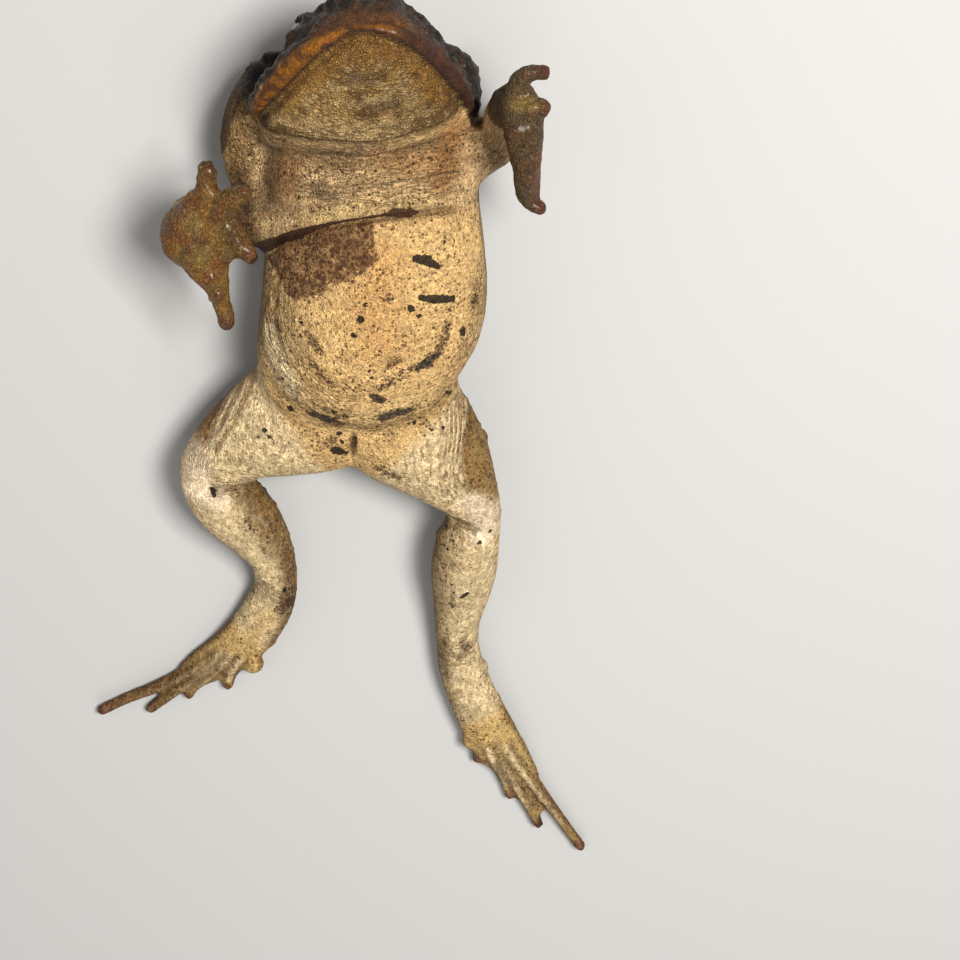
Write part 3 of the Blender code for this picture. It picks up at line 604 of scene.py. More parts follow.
# %% Tubercles of the hands and feet
# Each tubercle is (x, y, radius, height), seen from above.
TUBERCLES = [
    (-70, 35, 4.5, 1.4), (-66.5, 39.5, 3.2, 0.8), (-64, 43, 3.0, 0.6), (-58.5, 31, 4.0, 0.7),
    (-63, 26.5, 3.2, 0.7), (-52.5, 40.5, 3.4, 0.8), (-49, 22, 3.0, 0.6), (-44, 40.5, 2.8, 0.7),
    (-55, 15, 3.2, 0.7), (-53, 8, 3.4, 0.8), (-41.5, 50, 3.6, 1.0), (-46, 47, 3.0, 0.7),
    (-46.5, 31, 3.0, 0.6), (-41, 26.5, 3.4, 0.9), (-54, 57, 3.2, 0.6), (-52.5, -4.5, 3.6, 0.8),
    (67, 92.5, 3.4, 0.6), (65.5, 82, 3.4, 0.7), (65.5, 42, 3.6, 0.7), (59, 92, 3.0, 0.5),
    (61, 78, 3.0, 0.6), (55.5, 82.5, 3.2, 0.6), (54.5, 72.5, 3.6, 0.7), (57.5, 59, 3.2, 0.7),
    (61.5, 51.5, 3.0, 0.6), (54, 65, 3.0, 0.5), (-125, -202, 3.0, 0.4), (-102, -202, 3.0, 0.4),
    (-86, -196, 3.0, 0.4), (-68, -189, 3.0, 0.5), (-55, -176, 4.2, 0.9), (-103, -190.5, 2.6, 0.5),
    (-91.5, -186.5, 2.8, 0.5), (-80, -178.5, 3.0, 0.5), (-72.5, -172.5, 3.0, 0.5),
    (-61, -161, 3.0, 0.4), (89, -277, 3.0, 0.4), (69.5, -264, 3.0, 0.4), (56, -247.5, 3.0, 0.4),
    (43.5, -226, 3.0, 0.5), (45, -214, 4.2, 0.8), (52.5, -225.5, 3.0, 0.5), (59, -244, 2.6, 0.4),
    (70.5, -249.5, 2.6, 0.5), (61.5, -227, 3.0, 0.5), (48, -193, 3.0, 0.4), (41, -200, 3.2, 0.5),
]


def top_point(x, y):
    """The number of the highest skin point near a place seen from above."""
    near = np.flatnonzero(np.hypot(points[:, 0] - x, points[:, 1] - y) < 1.2)
    return near[np.argmax(points[near, 2])]


TUBERCLE_LIFT = 1.35
bumps = [(top_point(x, y), radius, TUBERCLE_LIFT * height) for x, y, radius, height in TUBERCLES]
tubercle_tops = raise_bumps(bumps, 1.3)

# %% Rough and granular skin
ROUGH_STEP = (6.0, 3.2, 1.9)
ROUGH_DEPTH = (0.75, 0.3, 0.12)
GRAIN_STEP = 2.3
side, forward, over_mouth, from_mouth = seen_from_head()
crown = part_mask("head", rounds=5) * step(over_mouth - lip_edge(forward), -0.5, 1.5)
for spacing, depth in zip(ROUGH_STEP, ROUGH_DEPTH):
    push(depth * crown * (1 - 3.2 * np.abs(mottled(spacing, 0, crown))))
soft = np.clip(1 - crown, 0, 1)
palms = hands + 0.6 * part_mask("forearm")
push((0.13 + 0.25 * palms) * soft * mottled(GRAIN_STEP, 40, soft))

points[:, 2] = np.maximum(points[:, 2], 0)
normals = update_normals()
print("skin triangles:", sum(len(face.vertices) - 2 for face in mesh.polygons))

# %% [markdown]
# ## Ground colours
#
# A painter of such a model lays soft ground colours first: cream on the belly, ochre on the throat,
# near black on the crown. They fade into each other over millimetres, so a colour for each skin point
# holds them. The crisp marks come later, in the material.

# %% The palette


def paint(red, green, blue):
    """A colour as on a screen, from 0 to 255, turned into the linear values of a shader."""
    return np.array([((part / 255 + 0.055) / 1.055) ** 2.4 for part in (red, green, blue)])


CREAM = paint(230, 188, 124)
ORANGE_TINT = paint(217, 158, 94)
YELLOW_CREAM = paint(232, 196, 132)
FLANK_GREY_AND_SHADE = paint(70, 55, 32)
FLANK_PALE = paint(248, 224, 178)
PALE_GREY = paint(170, 146, 102)
BACK_BROWN = paint(58, 42, 26)
CROWN_DARK = paint(30, 25, 15)
CHIN_OCHRE = paint(190, 150, 86)
CHIN_ORANGE = paint(176, 122, 44)
CHIN_SHADE = paint(104, 74, 36)
THROAT_TAN = paint(236, 196, 142)
THROAT_GREY = paint(142, 116, 78)
RED_BROWN = paint(156, 102, 52)
LIP_ORANGE = paint(134, 82, 20)
LIP_BROWN = paint(70, 42, 24)
LIP_PURPLE = paint(62, 38, 28)
MOUTH_SHADOW_DARK = paint(30, 18, 12)
CROWN_RUST = paint(96, 62, 38)
NECK_TAN = paint(212, 170, 104)
THIGH_CREAM = paint(244, 214, 162)
KNEE_PINK = paint(244, 218, 184)
SHANK_TAN = paint(214, 188, 142)
RUSTY_EDGE = paint(128, 92, 18)
SOLE_TAN = paint(192, 158, 98)
TOE_BROWN = paint(94, 66, 32)
TIP_RED = paint(88, 46, 32)
HAND_ORANGE = paint(126, 74, 18)
HAND_OLIVE = paint(126, 92, 38)
HAND_GREY = paint(74, 58, 36)
ARM_GREY = paint(194, 160, 114)
SHADE_AND_MOTTLE_BROWN = paint(70, 50, 32)
SNOUT_RUST = paint(120, 72, 30)
CHIN_SMUDGE = paint(112, 92, 72)
CHIN_PALE = paint(224, 188, 130)
RIDGE_HIGHLIGHT_PALE = paint(240, 220, 176)
RIDGE_SHADE_RUST = paint(146, 100, 56)
KNOB_RED = paint(98, 50, 26)
OLIVE_YELLOW = paint(150, 124, 66)
RECESS_SHADE_BLACK = paint(30, 22, 16)
ARM_SHADE_BROWN = paint(68, 46, 20)
INNER_BROWN = paint(100, 74, 34)

ground = np.tile(CREAM, (len(points), 1))


def coat(colour, mask):
    """Lays a colour over the ground where the mask is high."""
    global ground
    share = np.clip(mask, 0, 1)[:, None]
    ground = ground * (1 - share) + colour * share


def stroke_depth(spots):
    """How deep each point lies in a stroke of (x, y, radius) spots: 1 in its middle, 0 at its edge."""
    depth = np.full(len(points), -FAR)
    pairs = list(zip(spots, spots[1:])) or [(spots[0], spots[0])]
    for (x, y, first), (end_x, end_y, last) in pairs:
        start, way = np.array((x, y)), np.array((end_x - x, end_y - y))
        off = points[:, :2] - start
        share = np.clip(off @ way / max(way @ way, 1e-9), 0, 1)
        rest = off - share[:, None] * way
        radius = first + (last - first) * share
        depth = np.maximum(depth, 1 - np.hypot(rest[:, 0], rest[:, 1]) / radius)
    return depth


def stroke(spots, full=1.0):
    """A soft mask along the stroke, which is 1 wherever the stroke is at least that deep."""
    return step(stroke_depth(spots), 0, full)


def dab(colour, strength, spots):
    """Sprays a colour along (x, y, radius) spots seen from above, fading out to each radius."""
    coat(colour, strength * stroke(spots) * up_facing)


# %% Soft ground colours
up = normals[:, 2]
torso = part_mask("torso", "upper_arm", rounds=6)

throat = torso * step(from_line(CHEST)[0], -1, 3) * step(points[:, 1], 20, 34)
coat(THROAT_TAN, throat)
dab(ORANGE_TINT, 0.6, [(8, 22, 16), (4, 6, 20), (6, -8, 18)])
dab(YELLOW_CREAM, 0.7, [(-20, -38, 9), (0, -44, 10), (24, -36, 9)])
dab(FLANK_PALE, 0.8, [(-37, -8, 7), (-35, -19, 9), (-28, -30, 8)])
# The flank on the side away from the main lamp: its own dark grey, deepened with painted shade.
dab(FLANK_GREY_AND_SHADE, 1.0, [(-42, 22, 7), (-44, 8, 9), (-45.5, -8, 9), (-46, -20, 6)])
dab(PALE_GREY, 0.6, [(-30, 6, 8), (-29, -8, 8), (-24, -16, 7)])
dab(PALE_GREY, 0.5, [(43, 14, 5), (43, -4, 6), (38, -18, 6)])
patches = noise_at(points * (0.09, 0.2, 0.1), throat)
coat(THROAT_GREY, 0.7 * throat * step(patches, 0.0, 0.35))
coat(YELLOW_CREAM, 0.5 * throat * step(patches, -0.1, -0.4))
# Below the gular fold: a grey band that is partly the throat's own grey and partly painted shade under the
# chin's overhang, then a faint line of painted shade right under the fold.
dab(THROAT_GREY, 0.65, [(-26, 62, 8), (-6, 59, 8), (12, 60.5, 8), (26, 63, 8)])
dab(SHADE_AND_MOTTLE_BROWN, 0.15, [(-26, 62.5, 5), (-6, 61.5, 4), (12, 62.5, 3), (22, 64, 3)])
# Painted shade on the throat's right side, beside the arm.
dab(SHADE_AND_MOTTLE_BROWN, 0.85, [(-31, 58, 8), (-33, 48, 9), (-36, 38, 8)])
dab(RED_BROWN, 0.6, [(-25, 57, 9), (-27, 46, 9)])
dab(RED_BROWN, 0.85, [(33, 65, 9), (31, 56, 13), (29, 49, 9)])
dab(ORANGE_TINT, 0.5, [(8, 58, 8), (24, 55, 9)])
dab(CHIN_SMUDGE, 0.8, [(-17, 47, 4.5), (-9, 45.5, 4)])
# Painted highlight along the roll of skin above the chest fold.
dab(YELLOW_CREAM, 1.0, [(-22, 36, 3.5), (-12, 39, 4.5), (0, 41.5, 5), (12, 42.5, 5), (24, 43, 4)])
dab(NECK_TAN, 1.0, [(-48, 70, 12), (-50, 60, 14), (-48, 46, 12)])
coat(CROWN_DARK, 0.9 * stroke([(-45, 84, 5), (-49, 74, 5), (-53, 66, 4.5), (-55.5, 57, 4)], 0.5))
# Painted shade on the arm, between the right hand and the throat.
dab(ARM_SHADE_BROWN, 1.0, [(-47, 48, 8), (-45, 38, 9), (-43, 28, 8)])
# Painted shade in the right armpit.
dab(RECESS_SHADE_BLACK, 0.8, [(-44, 21, 4), (-40, 20, 4)])

coat(THIGH_CREAM, thighs)
coat(SHANK_TAN, shanks)
coat(SOLE_TAN, part_mask("foot", rounds=36))
dab(THIGH_CREAM, 0.7, [(-50, -118, 8), (-46, -130, 9)])
coat(ARM_GREY, part_mask("forearm", "upper_arm") * step(points[:, 1], 20, 30))
dab(ARM_GREY, 1.0, [(48, 62, 8), (45, 50, 7)])

right_side = points[:, 0] < 0
outer_right = step(from_line([(-49, -26), (-52.5, -39), (-58, -49), (-67, -64), (-71, -74)])[0], 1.0, -3.0)
outer_left = step(from_line([(36, -36), (35.5, -49), (34.5, -58), (36, -76), (42, -92)])[0], -1.0, 3.0)
outer_thigh = thighs * np.where(right_side, outer_right, outer_left)
coat(RUSTY_EDGE, 0.85 * outer_thigh)
legs = part_mask("shank", "tarsus", "thigh", "foot")
coat(INNER_BROWN, shanks * step(inner_side, 0.1, 0.7) * np.where(right_side, 0.9, 0.4))
coat(RUSTY_EDGE, 0.75 * legs * step(up, 0.65, 0.2) * step(inner_side, -0.95, -0.6))
knee_right = stroke([(-72, -67, 10), (-73, -80, 11), (-62, -86, 7)], 0.7)
knee_left = stroke([(40, -86, 8), (46, -93, 10), (44, -101, 8)], 0.7)
knees = np.maximum(knee_right, knee_left)
coat(KNEE_PINK, 0.75 * knees)
coat(BACK_BROWN, step(up, 0.1, -0.3) * (1 - part_mask("hand", rounds=7)))
coat(BACK_BROWN, 0.8 * torso * step(up, 0.35, 0.0) * step(points[:, 1], 62, 50))

side, forward, over_mouth, from_mouth = seen_from_head()
face = whole_head * step(points[:, 1], 60, 64)
under_lip = step(from_mouth, 0.5, -0.5) * step(over_mouth, 3.0, 1.0)
chin = whole_head * step(from_line(GULAR)[0], -0.8, 0.6) * under_lip
coat(CHIN_OCHRE, chin)
coat(CHIN_PALE, 0.9 * chin * step(from_line(GULAR)[0], 13, 3) * step(np.abs(side), 34, 20))
coat(CHIN_SHADE, 0.45 * chin * step(np.abs(side + 3), 19, 31))
coat(CHIN_SHADE, 0.5 * chin * step(side, 12, 24))
coat(CHIN_SHADE, 0.75 * chin * step(mottled(6.0, 63, chin), 0.12, 0.3))
coat(CHIN_PALE, 0.7 * chin * step(mottled(5.0, 81, chin), 0.1, 0.3))
coat(CHIN_ORANGE, 0.75 * chin * step(from_mouth, -8, -2) * step(forward, 8, 24))
coat(CROWN_DARK, np.maximum(head * step(from_mouth, -0.5, 0.5), whole_head * step(over_mouth, 1.0, 3.0)))
coat(SNOUT_RUST, 0.45 * whole_head * step(forward, 34, 42) * step(over_mouth, 15, 6))
lip = face * step(from_mouth, -0.4, 0.6) * step(over_mouth - lip_edge(forward), 0.8, -0.8)
lip = lip * step(forward, -10, -5)
coat(LIP_ORANGE, lip)
coat(LIP_BROWN, lip * step(side, 2, 12))
coat(LIP_PURPLE, lip * step(side, 14, 24))
coat(LIP_BROWN, 0.85 * lip * step(noise_at(points * (0.12, 0.35, 0.5) + 41, lip), -0.1, 0.25))
# Painted shadow in the mouth's groove, between lip and chin.
coat(MOUTH_SHADOW_DARK, 0.95 * face * bell(from_mouth - 0.2, 1.2) * step(over_mouth, 4, 2) * step(forward, -12, -6))
coat(LIP_PURPLE, 0.5 * crown * step(mottled(3.2, 9, crown), 0.1, 0.35))
coat(CROWN_RUST, 0.3 * crown * step(mottled(3.4, 31, crown), 0.05, 0.35))
coat(KNOB_RED, 0.2 * crown * step(mottled(2.0, 57, crown), 0.3, 0.5))

dab(CHIN_SMUDGE, 0.85, [(-1, 92, 4.5), (4, 90.5, 4)])
dab(CHIN_SMUDGE, 0.7, [(7, 79, 5), (14, 80, 4)])
dab(KNOB_RED, 0.9, [(21, 91.5, 3.4)])
dab(KNOB_RED, 0.5, [(-24, 85, 3.5)])
# Painted shade along the creases of the folds.
coat(SHADE_AND_MOTTLE_BROWN, 0.75 * fold_shade)
# Painted highlight on the thigh ridges' crests and painted shade in their troughs.
coat(RIDGE_HIGHLIGHT_PALE, 0.9 * ridge_crest_light * thighs)
coat(RIDGE_SHADE_RUST, 0.7 * ridge_trough_shade * thighs)
coat(TOE_BROWN, 0.55 * feet * step(up, 0.8, 0.4))
# Painted highlight on the foot ridges' crests and painted shade in their troughs.
coat(RIDGE_HIGHLIGHT_PALE, 0.75 * ridge_crest_light * feet)
coat(SHADE_AND_MOTTLE_BROWN, 0.85 * ridge_trough_shade * feet)
vent = stroke_depth([(-6, -54, 0.9), (-6.6, -58.5, 1.2), (-7.4, -64, 1.0)])
# Painted shade in the vent's slit.
coat(RECESS_SHADE_BLACK, 0.9 * step(vent, -0.2, 0.5) * up_facing)
# Painted shade in the crease at the inner right ankle.
coat(RECESS_SHADE_BLACK, 0.8 * stroke([(-38.5, -137, 3.5), (-37.5, -143, 4.2), (-40.5, -149, 3.2)], 0.6))
dab(BACK_BROWN, 0.6, [(28, -160, 3), (27, -170, 3), (29, -180, 3)])

# %% Hands, toes and tips
hand_right, hand_left = part_mask("hand_right", rounds=5), part_mask("hand_left", rounds=5)
coat(HAND_ORANGE, hand_right)
coat(HAND_OLIVE, 0.95 * hand_right * step(mottled(7.0, 5, hand_right), -0.3, 0.1))
dab(OLIVE_YELLOW, 0.7, [(-60, 36, 6), (-58, 24, 5)])
coat(HAND_GREY, hand_left)
coat(OLIVE_YELLOW, 0.7 * hand_left * stroke([(56, 81, 3.5), (65, 81, 3)], 0.6))
coat(KNOB_RED, 0.8 * hand_left * stroke([(65, 62, 3), (64.5, 50, 3), (66, 42, 4)], 0.8))
dab(HAND_GREY, 0.7, [(-46, 40, 6), (-47, 30, 5)])
coat(KNOB_RED, 0.85 * tubercle_tops * (hand_right + 0.4 * hand_left))
# Brown mottling of the right hand's own skin.
coat(SHADE_AND_MOTTLE_BROWN, 0.5 * hand_right * step(mottled(3.0, 77, hand_right), 0.1, 0.5))

# %% The toes and finger tips
TIPS = [
    (-126, -204, 9), (-105, -203, 6), (-87, -198, 5), (-69, -192, 5), (90, -279, 9), (70, -266, 7),
    (56.5, -250, 6), (42, -229, 5), (68, 92, 6), (68, 80, 5), (66, 39, 6), (68, 42, 5), (-52, -5, 6),
    (-54, 60, 5),
]
dab(SOLE_TAN, 0.7, [(-56, -162, 10), (-48, -150, 8)])
coat(TOE_BROWN, 0.9 * part_mask("foot_right") * step(points[:, 0], -62, -100))
coat(TOE_BROWN, 0.55 * part_mask("foot_left") * step(points[:, 1], -232, -262))
for spot in TIPS:
    coat(TIP_RED, 0.9 * stroke([spot], 0.6))
print("ground colours laid")

# %% [markdown]
# ## Crisp marks
#
# The belly also carries things with sharp edges: flakes of dried dirt, a dark stain below the chest
# fold and a scab in the fold itself. Each is stored as a depth in millimetres, positive inside and
# negative outside. The material cuts that soft slope at zero, with some noise added, which gives an
# edge sharper than the mesh.

# %% Flakes and smears of dirt
# Each stroke is a list of (x, y, radius), seen from above. Flakes have torn but definite edges, cakes are
# greyer and more torn, and smears scatter.
FLAKES = [
    [(19.5, 22.5, 1.3), (23.5, 21.5, 2.0), (28, 18.5, 0.9)],
    [(21.5, 7.5, 1.2), (27, 6.5, 1.7), (33, 5.5, 1.2)], [(-1, 0, 1.6)], [(-4, -6.5, 1.1)],
    [(1, 5.5, 0.9)], [(17, 4.5, 1.1), (18, 3.5, 1.2)], [(20.5, 0.5, 1.0)],
    [(36.5, -8, 1.2), (37, -10, 0.8)], [(-32, -27, 0.9)], [(-23.5, -3, 0.9)], [(-24, -8, 0.7)],
    [(2.5, -23.5, 0.8)], [(2, -20.5, 0.7)], [(-30, -40.5, 1.4)], [(-41.5, -52.5, 1.2)],
    [(-40, -55.5, 0.9)], [(-44, -55.5, 0.6)], [(-14, -61, 1.8), (-12, -62, 1.8)], [(-10, -63, 1.1)],
    [(-12, -53, 1.0)], [(-11, -57, 1.0)], [(24, -52.5, 0.8)], [(29, -52, 0.8)], [(17.5, -48.5, 0.9)],
    [(30, -37, 0.6), (31.5, -39, 0.8)], [(-65, -81.5, 1.0), (-64, -84, 0.8)], [(-40, -136.5, 1.0)],
    [(-53.5, -139.5, 0.8)], [(35, -133.5, 0.4), (37, -132, 1.1), (38.5, -130, 0.4)],
    [(43, -104.5, 0.9)], [(47.5, -100, 0.8)], [(29.5, -100.5, 0.8)], [(32.5, -104.5, 0.6)],
    [(31.5, -126.5, 0.8)], [(29, -108, 0.5), (30, -109, 0.6)], [(-23, 44, 0.7)], [(30, 27.5, 0.6)],
]
CAKES = [
    [(20, -20.5, 1.2), (23, -18.5, 2.2), (27, -16, 1.2)],
    [(2, -31, 1.0), (4, -33, 2.0), (7, -33.5, 1.0)],
    [(-21, -41.5, 1.2), (-16.5, -43, 2.3), (-12, -45, 1.3)],
    [(5, -42.3, 1.2), (10, -41, 1.9), (16, -40, 1.3)],
]
SMEARS = [
    [(41.5, 6, 1.4), (41, 1, 1.6)], [(-21, -7, 1.2), (-19, -10, 1.7), (-16, -14.5, 1.2)],
    [(-21, -17, 1.0), (-17.5, -21.5, 1.2), (-13.5, -26, 1.0)],
    [(31.5, -4, 1.1), (30, -9.5, 1.6), (28, -13.5, 1.5)],
    [(19.5, -21, 1.6), (23, -18.5, 2.9), (27.5, -15.5, 1.6)], [(9, -19, 1.2), (12.5, -17, 1.6)],
    [(2, -30.5, 1.2), (4, -32.5, 2.4), (7, -33.5, 1.2)],
    [(5, -28.5, 1.0), (10, -25, 1.4), (15, -24, 1.2)], [(13, -22, 1.2), (18.5, -19.5, 1.4)],
    [(-22, -41, 1.6), (-16.5, -43, 2.8), (-11, -46, 2.0)], [(-16, -38, 1.0), (-8, -42, 1.2)],
    [(4.5, -42.5, 1.5), (10, -41, 2.2), (16.5, -40, 1.8)],
    [(3, -70, 1.4), (6, -71.5, 1.8), (10, -73.5, 1.6)], [(-51.5, -96.5, 0.8), (-49.5, -101, 0.9)],
    [(-47, -109, 0.7), (-46, -113, 0.8)], [(-41, -142, 1.6), (-42.5, -147.5, 1.7)],
    [(32, -130, 0.7), (31.5, -137, 0.8), (32, -141, 0.6)], [(-17, -58, 1.6), (-14, -56, 1.4)],
    [(10, 7.5, 1.4)], [(36, -160, 1.6), (37.5, -165, 1.4)], [(-33, -4, 1.0), (-32, -9, 0.9)],
]
SCAB = [
    (-42, 19, 2.6), (-36, 23.5, 2.4), (-30, 27.5, 2.0), (-24, 30.5, 2.1), (-18, 33, 1.5),
    (-11, 35.5, 1.0), (-3, 37, 0.7), (4, 38, 0.7), (8.5, 38.7, 1.0), (12.5, 39.4, 2.3),
    (17.5, 39.2, 2.1), (20, 39, 0.8),
]
STAIN_EDGE = [
    (-37, 18), (-30, 26), (-22, 31), (-8, 34.5), (4, 36.5), (4.5, 30), (5, 22), (0, 18), (-5.5, 14),
    (-10.5, 12.5), (-16.5, 9.5), (-21, 7.5), (-26, 5), (-30, 10), (-37, 18),
]
DEEPEST = 3.0


def flake_depth(strokes):
    """Millimetres inside the nearest stroke, negative outside."""
    depth = np.full(len(points), -DEEPEST)
    for spots in strokes:
        size = max(radius for _, _, radius in spots)
        depth = np.maximum(depth, stroke_depth(spots) * size)
    return np.where(up_facing > 0.2, np.clip(depth, -DEEPEST, DEEPEST), -DEEPEST)


def area_depth(outline):
    """Millimetres inside a closed outline drawn anticlockwise, negative outside."""
    x, y = points[:, 0], points[:, 1]
    inside = np.zeros(len(points), bool)
    for (x1, y1), (x2, y2) in zip(outline, outline[1:]):
        crossing = (y1 > y) != (y2 > y)
        reach = (x2 - x1) * (y - y1) / (y2 - y1 if y2 != y1 else 1e-9) + x1
        inside ^= crossing & (x < reach)
    gap = np.full(len(points), FAR)
    for start, end in zip(outline, outline[1:]):
        gap = np.minimum(gap, np.abs(from_line([start, end])[0]))
    return np.where(up_facing > 0.2, np.clip(np.where(inside, gap, -gap), -DEEPEST, DEEPEST), -DEEPEST)


flakes = flake_depth(FLAKES)
smears = flake_depth(SMEARS)
cakes = flake_depth(CAKES)
scab = flake_depth([SCAB])
stain = area_depth(STAIN_EDGE)
frayed = step(points[:, 0], 3, -3) * (1 - step(points[:, 1], 24, 32) * step(points[:, 0], -34, -24))
near_stain = stain > -DEEPEST
stain = stain + frayed * (2.6 * mottled(2.2, 90, near_stain) + 1.2 * mottled(1.1, 0, near_stain))
push(0.5 * step(scab, -0.3, 0.9) + 0.12 * step(flakes, -0.3, 0.4))

# %% How thick the specks, blotches and grains are
belly_side = torso * (1 - throat)
specks = 0.8 * belly_side + 0.85 * throat + 0.5 * thighs + 0.5 * shanks + 0.85 * feet
specks = specks + 0.7 * outer_thigh + 0.5 * step(inner_side, 0.1, 0.7) * shanks
specks = specks + 0.4 * (shanks + feet) * step(up, 0.8, 0.3)
specks = np.clip(specks, 0, 1.2) * (1 + 0.55 * mottled(9.0, 17, specks))
specks = np.clip(specks, 0, 1.3) * (1 - head) * (1 - chin) * (1 - 0.7 * knees)
specks = np.maximum(specks, 2.2 * step(stain, -1.5, 0.8))
specks = specks + 1.1 * step(smears, -1.6, 0.8) + 0.9 * stroke([(-13, -61, 6)], 0.8)
specks = specks + 0.8 * step(stain, 0, 1) * stroke([(-5, 28, 9), (-1, 21, 6)])
blotches = 1.0 * thighs + 0.8 * shanks + 0.2 * belly_side + 0.4 * throat + 0.4 * feet
blotches = blotches * (1 - 0.8 * knees) * (1 - 0.7 * outer_thigh)
neck = stroke([(-48, 72, 13), (-48, 56, 12)], 0.6)
grains = chin + 0.45 * throat + 0.3 * belly_side + 0.3 * thighs + 0.4 * hand_left + 0.5 * hand_right
grains = np.clip(grains + 0.7 * neck, 0, 1)
wetness = np.clip(0.7 * hand_right + 0.6 * crown + 0.3 * lip + 0.4 * hand_left, 0, 1)

# %% Storing them on the skin


def store(name, values, kind="FLOAT"):
    key = {"FLOAT": "value", "FLOAT_VECTOR": "vector", "FLOAT_COLOR": "color"}[kind]
    layer = mesh.attributes.new(name, kind, "POINT")
    layer.data.foreach_set(key, np.ascontiguousarray(values, dtype=np.float32).ravel())


store("ground", np.hstack([ground, np.ones((len(points), 1))]), "FLOAT_COLOR")
store("lie", lie, "FLOAT_VECTOR")
for name, values in {
    "flakes": flakes, "smears": smears, "cakes": cakes, "scab": scab, "stain": stain, "specks": specks,
    "blotches": blotches, "grains": grains, "drawn": drawn, "pleats": pleats, "pleat_turn": pleat_turn,
    "wetness": wetness, "wart_tops": wart_tops,
}.items():
    store(name, values)
print("attributes stored:", len(mesh.attributes))

# %% [markdown]
# ## Patterns as node groups
#
# Specks, ragged edges, strands and grains are used more than once, so each is a node group with named
# inputs. They read places on the object, so they stay on the skin from every side. Specks are cells of
# a Voronoi pattern that hold a dot of a random size. A ragged edge is a slope plus noise, cut at zero.

# %% Helpers that build nodes


def node(tree, kind, inputs=None, **settings):
    """A node with its settings and inputs. An input is a number, a colour or another node's socket."""
    made = tree.nodes.new(kind)
    for key, value in settings.items():
        setattr(made, key, value)
    for key, value in (inputs or {}).items():
        if isinstance(value, bpy.types.NodeSocket):
            tree.links.new(value, made.inputs[key])
        else:
            made.inputs[key].default_value = value
    return made


def maths(tree, operation, first, second=0.0):
    return node(tree, "ShaderNodeMath", {0: first, 1: second}, operation=operation).outputs[0]


def textured(tree, place, scale, detail, roughness=0.5):
    """A noise texture's outputs. The scale is how many lumps there are to each unit of the place."""
    inputs = {"Vector": place, "Scale": scale, "Detail": detail, "Roughness": roughness}
    return node(tree, "ShaderNodeTexNoise", inputs).outputs


def mixed(tree, share, first, second, blend="MIX"):
    made = node(tree, "ShaderNodeMix", {"Factor": share}, data_type="RGBA", blend_type=blend)
    for key, value in ((6, first), (7, second)):
        if isinstance(value, bpy.types.NodeSocket):
            tree.links.new(value, made.inputs[key])
        else:
            made.inputs[key].default_value = (*value, 1)
    return made.outputs[2]


def ranged(tree, value, low, high, first=0.0, last=1.0):
    """The value mapped smoothly from low..high to first..last."""
    inputs = {"Value": value, "From Min": low, "From Max": high, "To Min": first, "To Max": last}
    return node(tree, "ShaderNodeMapRange", inputs, interpolation_type="SMOOTHSTEP").outputs[0]


def vector_maths(tree, operation, first, second=(0.0, 0.0, 0.0)):
    made = node(tree, "ShaderNodeVectorMath", {0: first, 1: second}, operation=operation)
    return made.outputs["Value" if operation == "LENGTH" else "Vector"]


def wobbled(tree, place, scale, detail, reach):
    """The place shifted by noise, which bends the straight edges of a pattern's cells."""
    swing = vector_maths(tree, "MULTIPLY", textured(tree, place, scale, detail)["Color"], (reach,) * 3)
    return vector_maths(tree, "ADD", place, swing)


def new_material(name):
    """A material, its node tree and its Principled shader."""
    material = bpy.data.materials.new(name)
    material.use_nodes = True
    return material, material.node_tree, material.node_tree.nodes["Principled BSDF"]


def new_group(name, inputs, outputs):
    """An empty node group with its sockets, and its input and output nodes."""
    group = bpy.data.node_groups.new(name, "ShaderNodeTree")
    for socket, kind in inputs.items():
        group.interface.new_socket(socket, in_out="INPUT", socket_type=kind)
    for socket in outputs:
        group.interface.new_socket(socket, in_out="OUTPUT", socket_type="NodeSocketFloat")
    return group, group.nodes.new("NodeGroupInput").outputs, group.nodes.new("NodeGroupOutput").inputs


VECTOR, NUMBER = "NodeSocketVector", "NodeSocketFloat"

# %% The specks


def speck_group():
    """Dots of random size, one to a cell, with most of them small and some faint."""
    inputs = {"Vector": VECTOR, "Scale": NUMBER, "Amount": NUMBER}
    group, given, result = new_group("specks", inputs, ["Mask"])
    place = wobbled(group, given["Vector"], 900.0, 1.0, 0.0005)
    cells = node(group, "ShaderNodeTexVoronoi", {"Vector": place, "Scale": given["Scale"]})
    chance = node(group, "ShaderNodeSeparateColor", {"Color": cells.outputs["Color"]})
    rare = maths(group, "POWER", chance.outputs[0], 2.0)
    size = maths(group, "ADD", maths(group, "MULTIPLY", rare, 0.42), 0.19)
    size = maths(group, "MULTIPLY", size, given["Amount"])
    inside = maths(group, "SUBTRACT", size, cells.outputs["Distance"])
    depth = ranged(group, chance.outputs[1], 0.0, 1.0, 0.35, 1.0)
    group.links.new(maths(group, "MULTIPLY", ranged(group, inside, -0.12, 0.08), depth), result["Mask"])
    return group


# %% A ragged edge


def ragged_group():
    """Cuts a depth in millimetres at zero, with the edge torn by noise."""
    inputs = {"Vector": VECTOR, "Depth": NUMBER, "Scale": NUMBER, "Tear": NUMBER}
    group, given, result = new_group("ragged edge", inputs, ["Mask"])
    tear = textured(group, given["Vector"], given["Scale"], 4.0)[0]
    shift = maths(group, "MULTIPLY", maths(group, "SUBTRACT", tear, 0.5), given["Tear"])
    group.links.new(ranged(group, maths(group, "ADD", given["Depth"], shift), -0.12, 0.12), result["Mask"])
    return group


# %% Strands and grains


